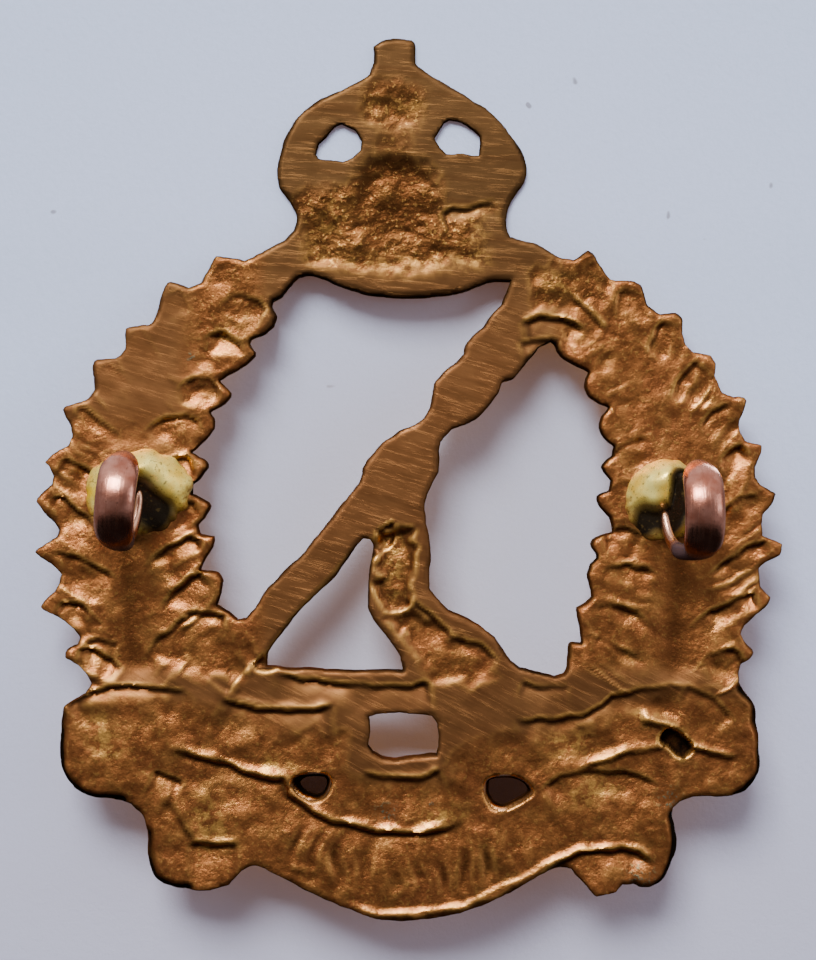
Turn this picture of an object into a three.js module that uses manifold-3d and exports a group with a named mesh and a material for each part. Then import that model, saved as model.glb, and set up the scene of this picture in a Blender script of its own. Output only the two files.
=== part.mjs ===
// A struck brass cap badge: a pierced plate with a crown, a laurel wreath, a diagonal device and two blank ribbons,
// and on its back two copper wire lugs, each held in a puddle of brazing brass. A split pin through both lugs fastens it.
//
// Everything is drawn as seen from behind, in millimetres: u runs to the viewer's right, v up to the crown, and w out of
// the back towards the cap. The last group turns that into the part's frame, +Z up, with the face towards -Y.
// The origin is on the filed back face, on the centre line and level with the lugs.
import * as THREE from "three";
import { mergeVertices } from "three/addons/utils/BufferGeometryUtils.js";
import Module from "manifold-3d";

const wasm = await Module();
wasm.setup();

// Thicknesses, measured from the back plane at w = 0.
const PLATE = 1.4; // edge of the plate
const RELIEF = 0.55; // how far leaves, ribbons and device stand proud of the face
const CROWN_RELIEF = 0.85;
const HOLLOW = 0.55; // depth of the hollows behind the raised parts
const LEAF_HOLLOW = 0.3;
const OVERRUN = 1; // how far a cutter runs past the face it cuts

// Lugs: a flattened wire bent into a ring that stands on edge, its ends meeting at the foot.
const LUG_OUTER = 5.25; // diameter
const LUG_WIRE = 0.75; // thickness of the wire, from the eye to the outside
const LUG_WIDTH = 2.1; // across the flattened wire
const LUG_SEAM = 0.16; // gap between the wire's ends
const BRAZE_GAP = 0.06; // room left round the wire in the braze
const LUGS = {
  left: { at: [-14.9, 0], foot: 0.2, lean: -6, yaw: -4, braze: [-14.95, 0.45], radii: [2.95, 2.4] },
  right: { at: [13.9, -0.45], foot: 0.32, lean: 13, yaw: -3, braze: [14.0, -0.05], radii: [2.5, 2.25] },
};
const BRAZE_HEIGHT = 0.8;
const PAD_MARGIN = 0.3; // how far the unhollowed plate reaches past each braze puddle

// Leaves.
const LEAF_HALF_WIDTH = 1.0;
const LEAF_START = 0.12; // share of a leaf's length, from its base, where its raised part starts

// Points along a smooth curve through the given ones.
function smooth(points, perSpan = 1.5) {
  const curve = new THREE.SplineCurve(points.map(([u, v]) => new THREE.Vector2(u, v)));
  return curve.getPoints(Math.round((points.length - 1) * perSpan)).map((p) => [p.x, p.y]);
}

// The outer edge, clockwise from the finial.
const FINIAL = [[-2.0, 23.8], [-2.0, 24.75], [-1.4, 25.1], [-0.6, 25.15], [0.2, 25.05], [0.3, 24.8]];
const CROWN_RIGHT = smooth([
  [0.3, 23.75], [1.2, 23.1], [3.0, 22.05], [4.1, 21.35], [5.1, 20.4], [5.9, 19.3],
  [6.4, 18.1], [6.2, 17.2], [5.6, 16.4], [5.3, 15.6], [5.25, 14.9], [5.45, 14.35],
]);
const SHOULDER_RIGHT = [[6.8, 14.05], [8.0, 13.3], [9.1, 13.15]];
const WREATH_RIGHT = [
  [9.65, 13.7], [10.0, 13.5], [10.4, 12.8], [11.1, 12.0],
  [12.2, 12.0], [12.65, 11.6], [12.9, 10.6], [13.5, 10.15],
  [14.5, 10.25], [14.9, 9.8], [14.95, 9.0], [15.2, 8.2],
  [16.3, 7.95], [16.65, 7.5], [16.6, 6.8], [16.9, 5.9],
  [18.35, 5.65], [18.2, 5.0], [17.95, 4.3], [18.2, 3.3],
  [19.2, 3.0], [19.15, 2.6], [18.7, 1.7], [18.8, 1.0],
  [19.95, 0.45], [19.75, -0.2], [19.25, -1.0], [19.3, -1.95],
  [20.2, -2.3], [20.3, -2.7], [19.9, -3.25], [19.1, -3.8], [19.1, -4.5],
  [19.7, -5.3], [19.4, -5.9], [18.6, -6.7], [18.2, -7.4],
  [18.75, -8.3], [18.5, -8.7], [17.9, -9.2],
];
const RIBBON_END_RIGHT = smooth([
  [17.8, -9.9], [18.4, -10.6], [18.85, -11.3], [19.0, -12.6], [19.15, -14.0], [19.0, -15.1],
  [18.3, -15.95], [17.3, -16.2], [15.6, -16.25], [14.5, -16.3],
]);
const TAIL_RIGHT = smooth([
  [14.4, -17.3], [14.6, -18.6], [14.4, -19.7], [13.8, -20.8], [13.1, -21.2],
]);
const TORN_EDGE = [[12.3, -20.95], [11.5, -20.95], [10.9, -21.4], [10.0, -21.45], [9.3, -20.9]];
const SWAG = smooth([
  [8.8, -20.15], [8.0, -20.05], [7.0, -20.4], [5.0, -21.5], [2.8, -22.5], [0.3, -22.9],
  [-2.0, -22.8], [-4.2, -22.0], [-6.0, -21.15], [-7.3, -20.5], [-8.4, -19.95], [-9.2, -20.15],
]);
const TAIL_LEFT = smooth([
  [-9.8, -20.9], [-11.2, -21.3], [-12.8, -21.15], [-13.9, -20.6], [-14.3, -19.6],
  [-14.35, -18.2], [-14.6, -17.2], [-15.2, -16.6],
]);
const RIBBON_END_LEFT = smooth([
  [-17.2, -16.3], [-18.4, -15.85], [-19.0, -14.9], [-19.15, -13.4], [-19.1, -12.0], [-18.8, -11.15],
]);
const WREATH_LEFT = [
  [-17.9, -10.7], [-17.5, -10.1], [-17.7, -9.5], [-18.1, -9.1],
  [-18.8, -8.6], [-18.7, -8.15], [-18.1, -7.7], [-18.25, -7.15], [-19.1, -6.45],
  [-20.2, -5.85], [-19.6, -5.1], [-19.1, -4.2], [-19.15, -3.75],
  [-20.55, -2.85], [-19.8, -2.2], [-19.2, -1.85], [-19.2, -1.35], [-19.8, -0.8],
  [-20.5, 0.0], [-20.1, 0.45], [-19.5, 0.95], [-19.45, 1.5],
  [-19.95, 2.1], [-19.3, 2.7], [-18.7, 3.0], [-18.45, 3.6], [-18.6, 4.2],
  [-19.0, 5.1], [-17.9, 5.4], [-17.2, 6.1], [-17.3, 6.8],
  [-17.35, 7.6], [-16.1, 7.65], [-15.6, 8.1], [-15.6, 8.8],
  [-15.6, 9.4], [-14.4, 9.55], [-13.8, 10.1], [-13.7, 11.0],
  [-13.3, 11.85], [-12.4, 11.65], [-11.6, 11.65], [-11.1, 12.3],
  [-10.6, 13.35], [-10.0, 13.3], [-9.2, 13.05], [-8.5, 13.3], [-7.4, 13.8],
];
const CROWN_LEFT = smooth([
  [-6.75, 14.1], [-6.35, 14.8], [-6.2, 15.4], [-6.6, 16.3], [-7.1, 17.0], [-7.3, 17.8],
  [-7.05, 19.1], [-6.5, 20.3], [-5.6, 21.35], [-4.4, 22.05], [-3.0, 22.7], [-2.2, 23.2],
]);
const OUTER_EDGE = [
  ...FINIAL, ...CROWN_RIGHT, ...SHOULDER_RIGHT, ...WREATH_RIGHT, ...RIBBON_END_RIGHT, ...TAIL_RIGHT,
  ...TORN_EDGE, ...SWAG, ...TAIL_LEFT, ...RIBBON_END_LEFT, ...WREATH_LEFT, ...CROWN_LEFT,
];

// The pierced openings.
const LEFT_OPENING = [
  ...smooth([
    [-6.0, 12.2], [-5.4, 12.3], [-4.4, 11.95], [-2.8, 11.35], [-0.8, 11.05], [1.3, 11.1],
    [2.9, 11.35], [4.3, 11.9], [5.4, 12.0],
  ], 1),
  [5.3, 11.0], [4.2, 9.9], [3.1, 8.75], [2.95, 7.95], [1.8, 7.0], [1.3, 6.2], [1.15, 5.1], [0.4, 4.2],
  [-0.8, 3.6], [-2.0, 2.6], [-2.6, 1.7], [-2.65, 1.25], [-4.0, -0.6], [-5.0, -1.85], [-6.1, -3.2],
  [-7.8, -4.8], [-8.4, -5.6], [-8.9, -6.4], [-9.3, -6.65], [-9.8, -6.15], [-10.5, -5.85],
  [-10.6, -5.4], [-10.25, -4.5], [-10.4, -3.9], [-11.2, -4.0], [-11.5, -3.6], [-11.0, -2.9],
  [-10.75, -2.3], [-10.7, -1.9], [-11.4, -1.85], [-11.45, -1.3], [-11.1, -0.6],
  [-10.85, -0.1], [-11.9, 0.35], [-12.0, 0.85], [-11.4, 1.3], [-11.05, 1.9], [-12.0, 2.5],
  [-11.3, 3.2], [-10.7, 4.1], [-10.8, 4.8], [-10.2, 5.3], [-9.75, 5.8], [-10.35, 6.5],
  [-9.5, 7.2], [-8.8, 7.45], [-8.4, 7.95], [-8.75, 8.65], [-7.9, 9.15],
  [-7.35, 10.05], [-7.65, 10.6], [-7.0, 11.15], [-6.4, 11.85],
];
const RIGHT_OPENING = [
  [7.7, 8.6], [8.3, 7.9], [9.7, 7.0], [9.5, 6.2], [9.9, 5.45], [10.7, 5.0], [10.45, 4.1],
  [11.1, 3.0], [10.8, 2.35], [10.5, 1.95], [10.6, 1.5], [11.1, 1.05], [10.9, 0.55],
  [10.15, 0.05], [10.3, -0.4], [10.9, -0.9], [11.0, -1.6], [10.4, -1.85], [9.85, -2.45],
  [10.25, -3.05], [9.75, -3.7], [9.65, -4.2], [9.95, -4.95], [9.1, -5.9],
  [9.4, -7.3], [9.3, -7.75], [8.7, -7.8], [8.55, -9.0], [8.25, -9.7],
  [7.0, -9.5], [5.9, -9.15], [5.1, -8.1], [4.4, -7.2], [2.8, -6.5], [1.8, -5.7], [1.0, -5.0],
  [1.0, -4.4], [1.15, -3.2], [0.9, -1.2], [0.85, 0.1], [1.25, 1.0], [1.6, 1.9],
  [1.6, 3.0], [2.3, 3.8], [3.2, 4.1], [4.0, 4.55], [4.7, 5.7], [5.0, 6.35], [5.7, 6.65], [6.5, 7.6], [7.1, 8.3],
];
const LOW_OPENING = [
  [-2.5, -2.1], [-2.15, -2.4], [-2.25, -4.0], [-2.4, -5.9], [-1.7, -7.0], [-0.8, -8.1], [-0.4, -9.35],
  [-4.0, -9.4], [-8.0, -9.15], [-7.6, -8.3], [-6.0, -6.2], [-4.3, -4.3], [-3.1, -2.8],
];
const CROWN_EYE_LEFT = [
  [-5.0, 19.4], [-4.4, 20.05], [-4.0, 20.4], [-3.5, 20.5], [-3.0, 20.2], [-2.65, 19.7], [-2.7, 19.1],
  [-3.1, 18.6], [-3.6, 18.4], [-4.6, 18.55], [-5.05, 18.75],
];
const CROWN_EYE_RIGHT = [
  [1.4, 19.8], [1.6, 20.45], [2.2, 20.8], [2.9, 20.6], [3.5, 20.1], [3.75, 19.6], [3.75, 18.85],
  [3.0, 18.95], [2.0, 18.9], [1.6, 19.2],
];
const SQUARE_HOLE = [
  [-2.3, -11.75], [-1.7, -11.5], [0.9, -11.6], [1.35, -12.0], [1.5, -13.2], [1.3, -13.9], [-0.6, -14.05],
  [-1.9, -13.6], [-2.25, -12.8],
];
const SMALL_HOLE_LEFT = [
  [-6.55, -15.25], [-6.0, -14.98], [-4.85, -15.0], [-4.5, -15.45], [-4.7, -16.15], [-5.2, -16.4],
  [-6.0, -16.05],
];
const SMALL_HOLE_RIGHT = [
  [4.1, -15.9], [4.4, -15.35], [5.1, -15.05], [5.9, -15.2], [6.6, -15.85], [6.2, -16.25], [5.2, -16.85],
  [4.4, -16.5],
];
const OPENINGS = [
  LEFT_OPENING, RIGHT_OPENING, LOW_OPENING, CROWN_EYE_LEFT, CROWN_EYE_RIGHT,
  SQUARE_HOLE, SMALL_HOLE_LEFT, SMALL_HOLE_RIGHT,
];

// The raised parts of the face, each with a hollow behind it.
const RIBBON_UPPER_LEFT = smooth([
  [-18.2, -12.0], [-16.5, -10.8], [-14.3, -10.5], [-11.8, -11.0], [-9.4, -11.9], [-6.6, -12.4], [-3.6, -12.7],
  [-3.4, -13.7], [-6.0, -14.0], [-9.0, -13.9], [-12.0, -13.3], [-14.5, -14.2], [-17.0, -14.9], [-18.2, -14.0],
]);
const RIBBON_UPPER_RIGHT = smooth([
  [18.1, -12.0], [16.6, -10.8], [14.4, -10.4], [12.0, -10.9], [9.6, -12.0], [6.8, -12.5], [3.2, -12.6],
  [3.0, -13.5], [6.4, -14.0], [9.6, -13.8], [12.0, -13.2], [15.0, -13.4], [17.6, -14.2],
]);
const RIBBON_CENTRE = smooth([
  [-3.6, -14.8], [-1.0, -15.2], [2.4, -14.8], [2.7, -16.8], [0.0, -17.3], [-2.6, -17.0], [-4.0, -16.4],
]);
const RIBBON_LOWER = smooth([
  [-13.0, -15.6], [-11.0, -15.2], [-8.6, -15.9], [-6.2, -17.3], [-3.2, -18.4], [0.0, -18.9], [3.2, -18.4],
  [6.4, -17.4], [9.0, -15.6], [12.0, -15.3], [13.6, -16.6], [13.2, -18.6], [10.8, -18.5], [7.6, -19.2],
  [4.0, -21.2], [0.3, -22.0], [-3.6, -21.2], [-7.0, -19.3], [-9.6, -18.4], [-12.0, -18.2],
]);
const CIRCLET = smooth([
  [-5.6, 14.6], [-3.0, 13.9], [-0.5, 13.7], [2.4, 13.9], [4.6, 14.6], [4.4, 12.7], [2.0, 12.0],
  [-0.5, 11.8], [-3.0, 12.2], [-5.3, 13.0],
]);
const CROWN_CAP = smooth([
  [-4.6, 16.6], [-2.6, 17.4], [-1.0, 18.2], [0.6, 17.9], [2.2, 16.6], [3.9, 15.8], [3.8, 15.0],
  [-0.5, 14.4], [-5.0, 15.2],
]);
const STRUT_UPPER = smooth([
  [5.6, 10.6], [4.6, 9.6], [3.6, 8.4], [2.4, 7.0], [1.9, 5.2], [1.3, 4.0], [1.9, 4.0], [3.4, 4.8], [4.1, 6.0],
  [4.9, 7.2], [6.4, 8.4], [6.8, 9.6],
]);
const STRUT_LOWER = smooth([
  [0.6, 3.2], [-0.6, 2.9], [-1.7, 1.8], [-2.1, 0.6], [-4.2, -2.2], [-6.4, -4.6], [-8.3, -6.6], [-8.3, -7.6],
  [-7.2, -6.9], [-5.0, -4.2], [-3.2, -2.0], [-1.4, -1.4], [0.2, -0.6], [0.7, 1.4],
]);
const STAY = smooth([
  [-1.5, -2.9], [-0.1, -2.6], [0.2, -4.8], [1.2, -6.3], [3.2, -7.6], [4.3, -9.0], [1.6, -9.2], [0.2, -8.0],
  [-1.2, -6.2], [-1.7, -4.8],
]);
const RAISED = [
  { outline: RIBBON_UPPER_LEFT, proud: RELIEF, hollow: HOLLOW },
  { outline: RIBBON_UPPER_RIGHT, proud: RELIEF, hollow: HOLLOW },
  { outline: RIBBON_CENTRE, proud: RELIEF, hollow: HOLLOW },
  { outline: RIBBON_LOWER, proud: RELIEF, hollow: HOLLOW },
  { outline: CIRCLET, proud: CROWN_RELIEF, hollow: HOLLOW },
  { outline: CROWN_CAP, proud: RELIEF, hollow: HOLLOW },
  { outline: STRUT_UPPER, proud: RELIEF, hollow: 0 },
  { outline: STRUT_LOWER, proud: RELIEF, hollow: 0 },
  { outline: STAY, proud: RELIEF, hollow: HOLLOW },
];

// The wreath: two stems from the ribbon up to the crown, with the tips of their outer and inner leaves from the bottom up.
const BRANCHES = [
  {
    stem: [[-15.0, -10.4], [-15.2, -6.0], [-15.4, -2.0], [-15.2, 2.0], [-14.0, 6.2], [-11.6, 9.8], [-8.0, 12.8]],
    tips: [
      [
        [-18.6, -8.5], [-20.0, -5.8], [-20.3, -2.85], [-20.3, 0.0], [-19.8, 2.1], [-18.8, 5.0], [-17.1, 7.45],
        [-15.4, 9.2], [-13.2, 11.7], [-10.5, 13.1],
      ],
      [
        [-10.7, -5.7], [-10.6, -4.0], [-10.9, -2.0], [-11.0, -0.15], [-11.3, 1.9], [-10.9, 4.0], [-9.9, 5.8],
        [-8.6, 7.9], [-7.6, 9.9],
      ],
    ],
  },
  {
    stem: [[14.5, -10.4], [14.6, -6.0], [14.8, -2.0], [14.7, 2.0], [13.4, 6.0], [11.0, 9.6], [7.6, 12.4]],
    tips: [
      [
        [18.5, -8.3], [19.5, -5.3], [20.1, -2.5], [19.8, 0.4], [19.0, 2.95], [18.2, 5.5], [16.3, 7.7],
        [14.5, 10.0], [12.1, 11.8], [9.7, 13.4],
      ],
      [
        [9.3, -7.6], [9.3, -5.9], [9.85, -4.1], [10.0, -2.4], [10.3, 0.0], [10.7, 1.95], [10.7, 4.2],
        [9.8, 6.4], [8.6, 8.3],
      ],
    ],
  },
];

// Points as vectors, running counter-clockwise.
function loop(points) {
  const vectors = points.map(([u, v]) => new THREE.Vector2(u, v));
  return THREE.ShapeUtils.isClockWise(vectors) ? vectors.reverse() : vectors;
}

function shapeOf(outline, openings = []) {
  const shape = new THREE.Shape(loop(outline));
  shape.holes = openings.map((points) => new THREE.Path(loop(points)));
  return shape;
}

// A straight-walled solid between two heights.
function prism(shape, low, high) {
  const geometry = new THREE.ExtrudeGeometry(shape, { depth: high - low, bevelEnabled: false, curveSegments: 4 });
  return geometry.translate(0, 0, low);
}

// A solid from inside the plate to `proud` in front of its face, narrowing towards its front.
function raised(shape, proud) {
  const geometry = new THREE.ExtrudeGeometry(shape, {
    depth: PLATE / 2,
    bevelThickness: proud,
    bevelSize: -proud / 2,
    bevelSegments: 1,
    curveSegments: 4,
  });
  return geometry.translate(0, 0, -PLATE);
}

function solidOf(geometry) {
  const bare = geometry.clone();
  bare.deleteAttribute("normal");
  bare.deleteAttribute("uv");
  const merged = mergeVertices(bare, 1e-4);
  return new wasm.Manifold(
    new wasm.Mesh({
      numProp: 3,
      vertProperties: merged.attributes.position.array,
      triVerts: new Uint32Array(merged.index.array),
    }),
  );
}

function geometryOf(solid) {
  const mesh = solid.getMesh();
  const geometry = new THREE.BufferGeometry();
  geometry.setAttribute("position", new THREE.BufferAttribute(mesh.vertProperties, 3));
  geometry.setIndex(new THREE.BufferAttribute(mesh.triVerts, 1));
  geometry.computeVertexNormals();
  return geometry;
}

const union = (solids) => wasm.Manifold.union(solids);

// A pointed leaf from its base to its tip, both [u, v].
function leafShape(base, tip) {
  const from = new THREE.Vector2(...base).lerp(new THREE.Vector2(...tip), LEAF_START);
  const to = new THREE.Vector2(...tip);
  const along = to.clone().sub(from);
  const across = new THREE.Vector2(-along.y, along.x).setLength(2 * LEAF_HALF_WIDTH);
  const middle = from.clone().lerp(to, 0.45);
  const shape = new THREE.Shape();
  shape.moveTo(from.x, from.y);
  shape.quadraticCurveTo(middle.x - across.x, middle.y - across.y, to.x, to.y);
  shape.quadraticCurveTo(middle.x + across.x, middle.y + across.y, from.x, from.y);
  return shape;
}

function leafShapes() {
  const shapes = [];
  for (const { stem, tips } of BRANCHES) {
    const curve = new THREE.SplineCurve(stem.map(([u, v]) => new THREE.Vector2(u, v)));
    for (const row of tips)
      row.forEach((tip, i) => {
        const base = curve.getPointAt(i / (row.length + 0.5));
        shapes.push(leafShape([base.x, base.y], tip));
      });
  }
  return shapes;
}

function badgePlate() {
  const whole = shapeOf(OUTER_EDGE, OPENINGS);
  const plate = solidOf(prism(whole, -PLATE, 0));
  const leaves = leafShapes();
  const front = union([
    ...RAISED.map(({ outline, proud }) => solidOf(raised(shapeOf(outline), proud))),
    ...leaves.map((leaf) => solidOf(raised(leaf, RELIEF))),
  ]);
  const within = solidOf(prism(whole, -PLATE - OVERRUN, -PLATE / 4));
  const hollows = union([
    ...RAISED.filter(({ hollow }) => hollow).map(({ outline, hollow }) =>
      solidOf(prism(shapeOf(outline), -hollow, OVERRUN)),
    ),
    ...leaves.map((leaf) => solidOf(prism(leaf, -LEAF_HOLLOW, OVERRUN))),
  ]);
  const pads = union(
    Object.values(LUGS).map(({ braze: [u, v], radii }) => {
      const radius = Math.max(...radii) + PAD_MARGIN;
      const pad = new THREE.CylinderGeometry(radius, radius, 4 * OVERRUN, 20);
      return solidOf(pad.rotateX(Math.PI / 2).translate(u, v, 0));
    }),
  );
  return geometryOf(plate.add(front.intersect(within)).subtract(hollows.subtract(pads)));
}

// A lug's ring with its foot at the origin and its eye along u. `grow` fattens the wire all round.
function lugRing(grow = 0) {
  const outer = LUG_OUTER / 2 + grow;
  const inner = LUG_OUTER / 2 - LUG_WIRE - grow;
  const half = LUG_WIDTH / 2 + grow;
  const shoulder = outer - LUG_WIRE * 0.45;
  const section = [
    [inner, -half], [shoulder, -half], [outer - 0.08, -half * 0.55], [outer, 0],
    [outer - 0.08, half * 0.55], [shoulder, half], [inner, half], [inner, -half],
  ];
  const ring = new THREE.LatheGeometry(section.map(([r, y]) => new THREE.Vector2(r, y)), 32);
  return ring.rotateZ(Math.PI / 2).translate(0, 0, LUG_OUTER / 2);
}

function lug() {
  const seam = new THREE.BoxGeometry(2 * LUG_WIDTH, LUG_SEAM, 2 * LUG_WIRE).translate(0, 0, LUG_WIRE / 2);
  return geometryOf(solidOf(lugRing()).subtract(solidOf(seam)));
}

// Where a lug stands: its foot and how high that is, how far its crown leans to the right, and its turn about w.
function placeLug(object, { at, foot, lean, yaw }) {
  object.position.set(at[0], at[1], foot);
  object.rotation.set(0, THREE.MathUtils.degToRad(lean), THREE.MathUtils.degToRad(yaw), "ZYX");
  object.updateMatrix();
  return object;
}

// A low mound of braze round a lug's foot, with the wire's own shape cut out of it.
function braze(place) {
  const [across, up] = place.radii;
  const profile = [[0, 0], [1, 0], [0.96, 0.22], [0.8, 0.5], [0.55, 0.76], [0.3, 0.94], [0, 1]];
  const mound = new THREE.LatheGeometry(profile.map(([r, h]) => new THREE.Vector2(r, h)), 28);
  mound.rotateX(Math.PI / 2).scale(across, up, BRAZE_HEIGHT).translate(...place.braze, 0);
  const wire = placeLug(new THREE.Object3D(), place);
  const cutter = lugRing(BRAZE_GAP).applyMatrix4(wire.matrix);
  return geometryOf(solidOf(mound).subtract(solidOf(cutter)));
}

const brass = new THREE.MeshStandardMaterial({ color: 0x8a5a2a, roughness: 0.45, metalness: 1 });
const copper = new THREE.MeshStandardMaterial({ color: 0xa8694f, roughness: 0.35, metalness: 1 });
const brazingBrass = new THREE.MeshStandardMaterial({ color: 0xcfc27a, roughness: 0.4, metalness: 1 });

function part(name, geometry, material) {
  const mesh = new THREE.Mesh(geometry, material);
  mesh.name = name;
  return mesh;
}

const badge = new THREE.Group();
badge.add(part("badge_plate", badgePlate(), brass));
for (const [side, place] of Object.entries(LUGS)) {
  badge.add(placeLug(part(`lug_${side}`, lug(), copper), place));
  badge.add(part(`braze_${side}`, braze(place), brazingBrass));
}

// From (u, v, w) to the part's frame: X = -u, Y = w, Z = v.
badge.matrixAutoUpdate = false;
badge.matrix.makeBasis(new THREE.Vector3(-1, 0, 0), new THREE.Vector3(0, 0, 1), new THREE.Vector3(0, 1, 0));

export default badge;
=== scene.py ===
"""The looks of a struck brass cap badge, seen mostly from behind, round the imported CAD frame.

Shapes are worked out in millimetres as seen from behind: u to the viewer's right, v up to the crown, w out of
the back. to_frame() turns that into the part's frame in metres. The plate is a fine mesh over its pierced
outline, with one height function for the filed and cast back and one for the struck face.
P and Q are arrays of points (u, v), and the last number that noise() and drift() are given is a seed.
"""
import bpy
import math
import numpy as np
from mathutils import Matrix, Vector


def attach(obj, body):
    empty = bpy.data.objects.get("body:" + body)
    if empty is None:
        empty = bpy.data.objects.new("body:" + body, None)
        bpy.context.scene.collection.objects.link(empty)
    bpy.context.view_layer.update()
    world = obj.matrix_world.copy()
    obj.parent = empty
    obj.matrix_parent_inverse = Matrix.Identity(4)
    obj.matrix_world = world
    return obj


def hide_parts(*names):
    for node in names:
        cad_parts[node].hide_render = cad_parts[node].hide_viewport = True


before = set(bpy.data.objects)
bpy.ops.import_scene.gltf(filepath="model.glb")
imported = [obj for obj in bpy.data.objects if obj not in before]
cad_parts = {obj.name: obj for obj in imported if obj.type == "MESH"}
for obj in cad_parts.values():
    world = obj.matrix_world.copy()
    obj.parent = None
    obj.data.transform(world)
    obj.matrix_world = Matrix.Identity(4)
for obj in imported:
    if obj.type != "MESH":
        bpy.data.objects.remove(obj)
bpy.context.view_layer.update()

MM = 0.001

# The same plate as the CAD: thickness, and how far the face's parts stand proud.
PLATE = 1.4
CROWN_RELIEF = 0.82
RELIEF = 0.52
EYE_SINK = 0.5  # the plate is thinner round the crown's two small openings

CELL = 0.125  # spacing of the plate's mesh
INSET = 0.07  # how far the mesh's flat faces stop short of the outline, to leave a rounded edge


# ---------------------------------------------------------------- outlines
def smooth(points, steps=4):
    """Points along a Catmull-Rom curve through the given ones."""
    p = np.array(points, float)
    p = np.vstack([2 * p[0] - p[1], p, 2 * p[-1] - p[-2]])
    t = np.linspace(0, 1, steps, endpoint=False)[:, None]
    out = []
    for a, b, c, d in zip(p, p[1:], p[2:], p[3:]):
        bend = (2 * a - 5 * b + 4 * c - d) * t**2 + (3 * b - a - 3 * c + d) * t**3
        out.append(0.5 * (2 * b + (c - a) * t + bend))
    return np.vstack(out + [p[-2]])


def shrunk(points, toward, size):
    """The outline drawn in towards a point inside it."""
    return [(toward[0] + size * (u - toward[0]), toward[1] + size * (v - toward[1])) for u, v in points]


def round_loop(points):
    """A closed curve through points."""
    return smooth(points[-2:] + points + points[:2])[8:-4]


FINIAL = [(-2.0, 23.8), (-2.0, 24.75), (-1.4, 25.1), (-0.6, 25.15), (0.2, 25.05), (0.3, 24.8)]
CROWN_RIGHT = smooth([
    (0.3, 23.75), (1.2, 23.1), (3.0, 22.05), (4.1, 21.35), (5.1, 20.4), (5.9, 19.3), (6.4, 18.1),
    (6.2, 17.2), (5.6, 16.4), (5.3, 15.6), (5.25, 14.9), (5.45, 14.35),
])
SHOULDER_RIGHT = [(6.1, 14.2), (6.85, 14.0), (7.6, 13.5), (8.05, 13.25), (8.95, 13.1)]
WREATH_RIGHT = [
    (9.7, 13.65), (10.05, 13.45), (10.35, 12.85), (10.95, 12.05), (11.35, 11.95), (12.25, 11.95),
    (12.6, 11.7), (12.85, 10.95), (12.95, 10.6), (13.6, 10.15), (14.5, 10.25), (14.9, 9.9), (14.9, 9.05),
    (15.05, 8.5), (15.45, 8.05), (16.4, 7.9), (16.7, 7.45), (16.65, 6.75), (17.05, 5.9), (17.7, 5.6),
    (18.4, 5.6), (18.25, 5.05), (17.95, 4.3), (18.0, 3.7), (18.3, 3.25), (19.2, 3.0), (19.15, 2.55),
    (18.8, 1.8), (18.8, 1.25), (19.05, 0.85), (19.95, 0.35), (19.75, -0.15), (19.25, -0.8), (19.15, -1.4),
    (19.2, -1.95), (20.3, -2.4), (20.15, -2.95), (19.4, -3.4), (19.05, -3.75), (19.1, -4.7),
    (19.7, -5.35), (19.3, -5.85), (18.8, -6.25), (18.25, -6.8), (18.05, -7.3), (18.45, -7.95),
    (18.75, -8.25), (18.6, -8.65), (18.05, -8.95), (17.85, -9.4),
]
RIBBON_END_RIGHT = smooth([
    (17.9, -9.95), (18.4, -10.6), (18.85, -11.3), (19.0, -12.6), (19.15, -14.0), (19.0, -15.1),
    (18.3, -15.95), (17.3, -16.2), (16.0, -16.15), (15.05, -16.35), (14.4, -16.8),
])
TAIL_RIGHT = smooth([(14.35, -17.3), (14.6, -18.6), (14.4, -19.7), (13.8, -20.8), (13.1, -21.2)])
TORN_EDGE = [(12.6, -21.2), (12.2, -20.95), (11.6, -21.0), (11.2, -21.45), (10.1, -21.65), (9.5, -21.0)]
SWAG = smooth([
    (8.8, -20.2), (8.0, -20.1), (7.0, -20.5), (5.0, -21.6), (2.8, -22.5), (0.3, -22.92), (-2.0, -22.8),
    (-4.2, -22.0), (-6.0, -21.15), (-7.3, -20.5), (-8.4, -19.95), (-9.2, -20.2),
])
TAIL_LEFT = smooth([
    (-9.9, -21.0), (-11.2, -21.3), (-12.8, -21.2), (-13.9, -20.7), (-14.3, -19.7), (-14.35, -18.2),
    (-14.6, -17.2), (-15.2, -16.6),
])
RIBBON_END_LEFT = smooth([
    (-16.4, -16.35), (-17.4, -16.2), (-18.4, -15.7), (-19.0, -14.7), (-19.15, -13.3), (-19.1, -12.0),
    (-18.8, -11.2),
])
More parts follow.
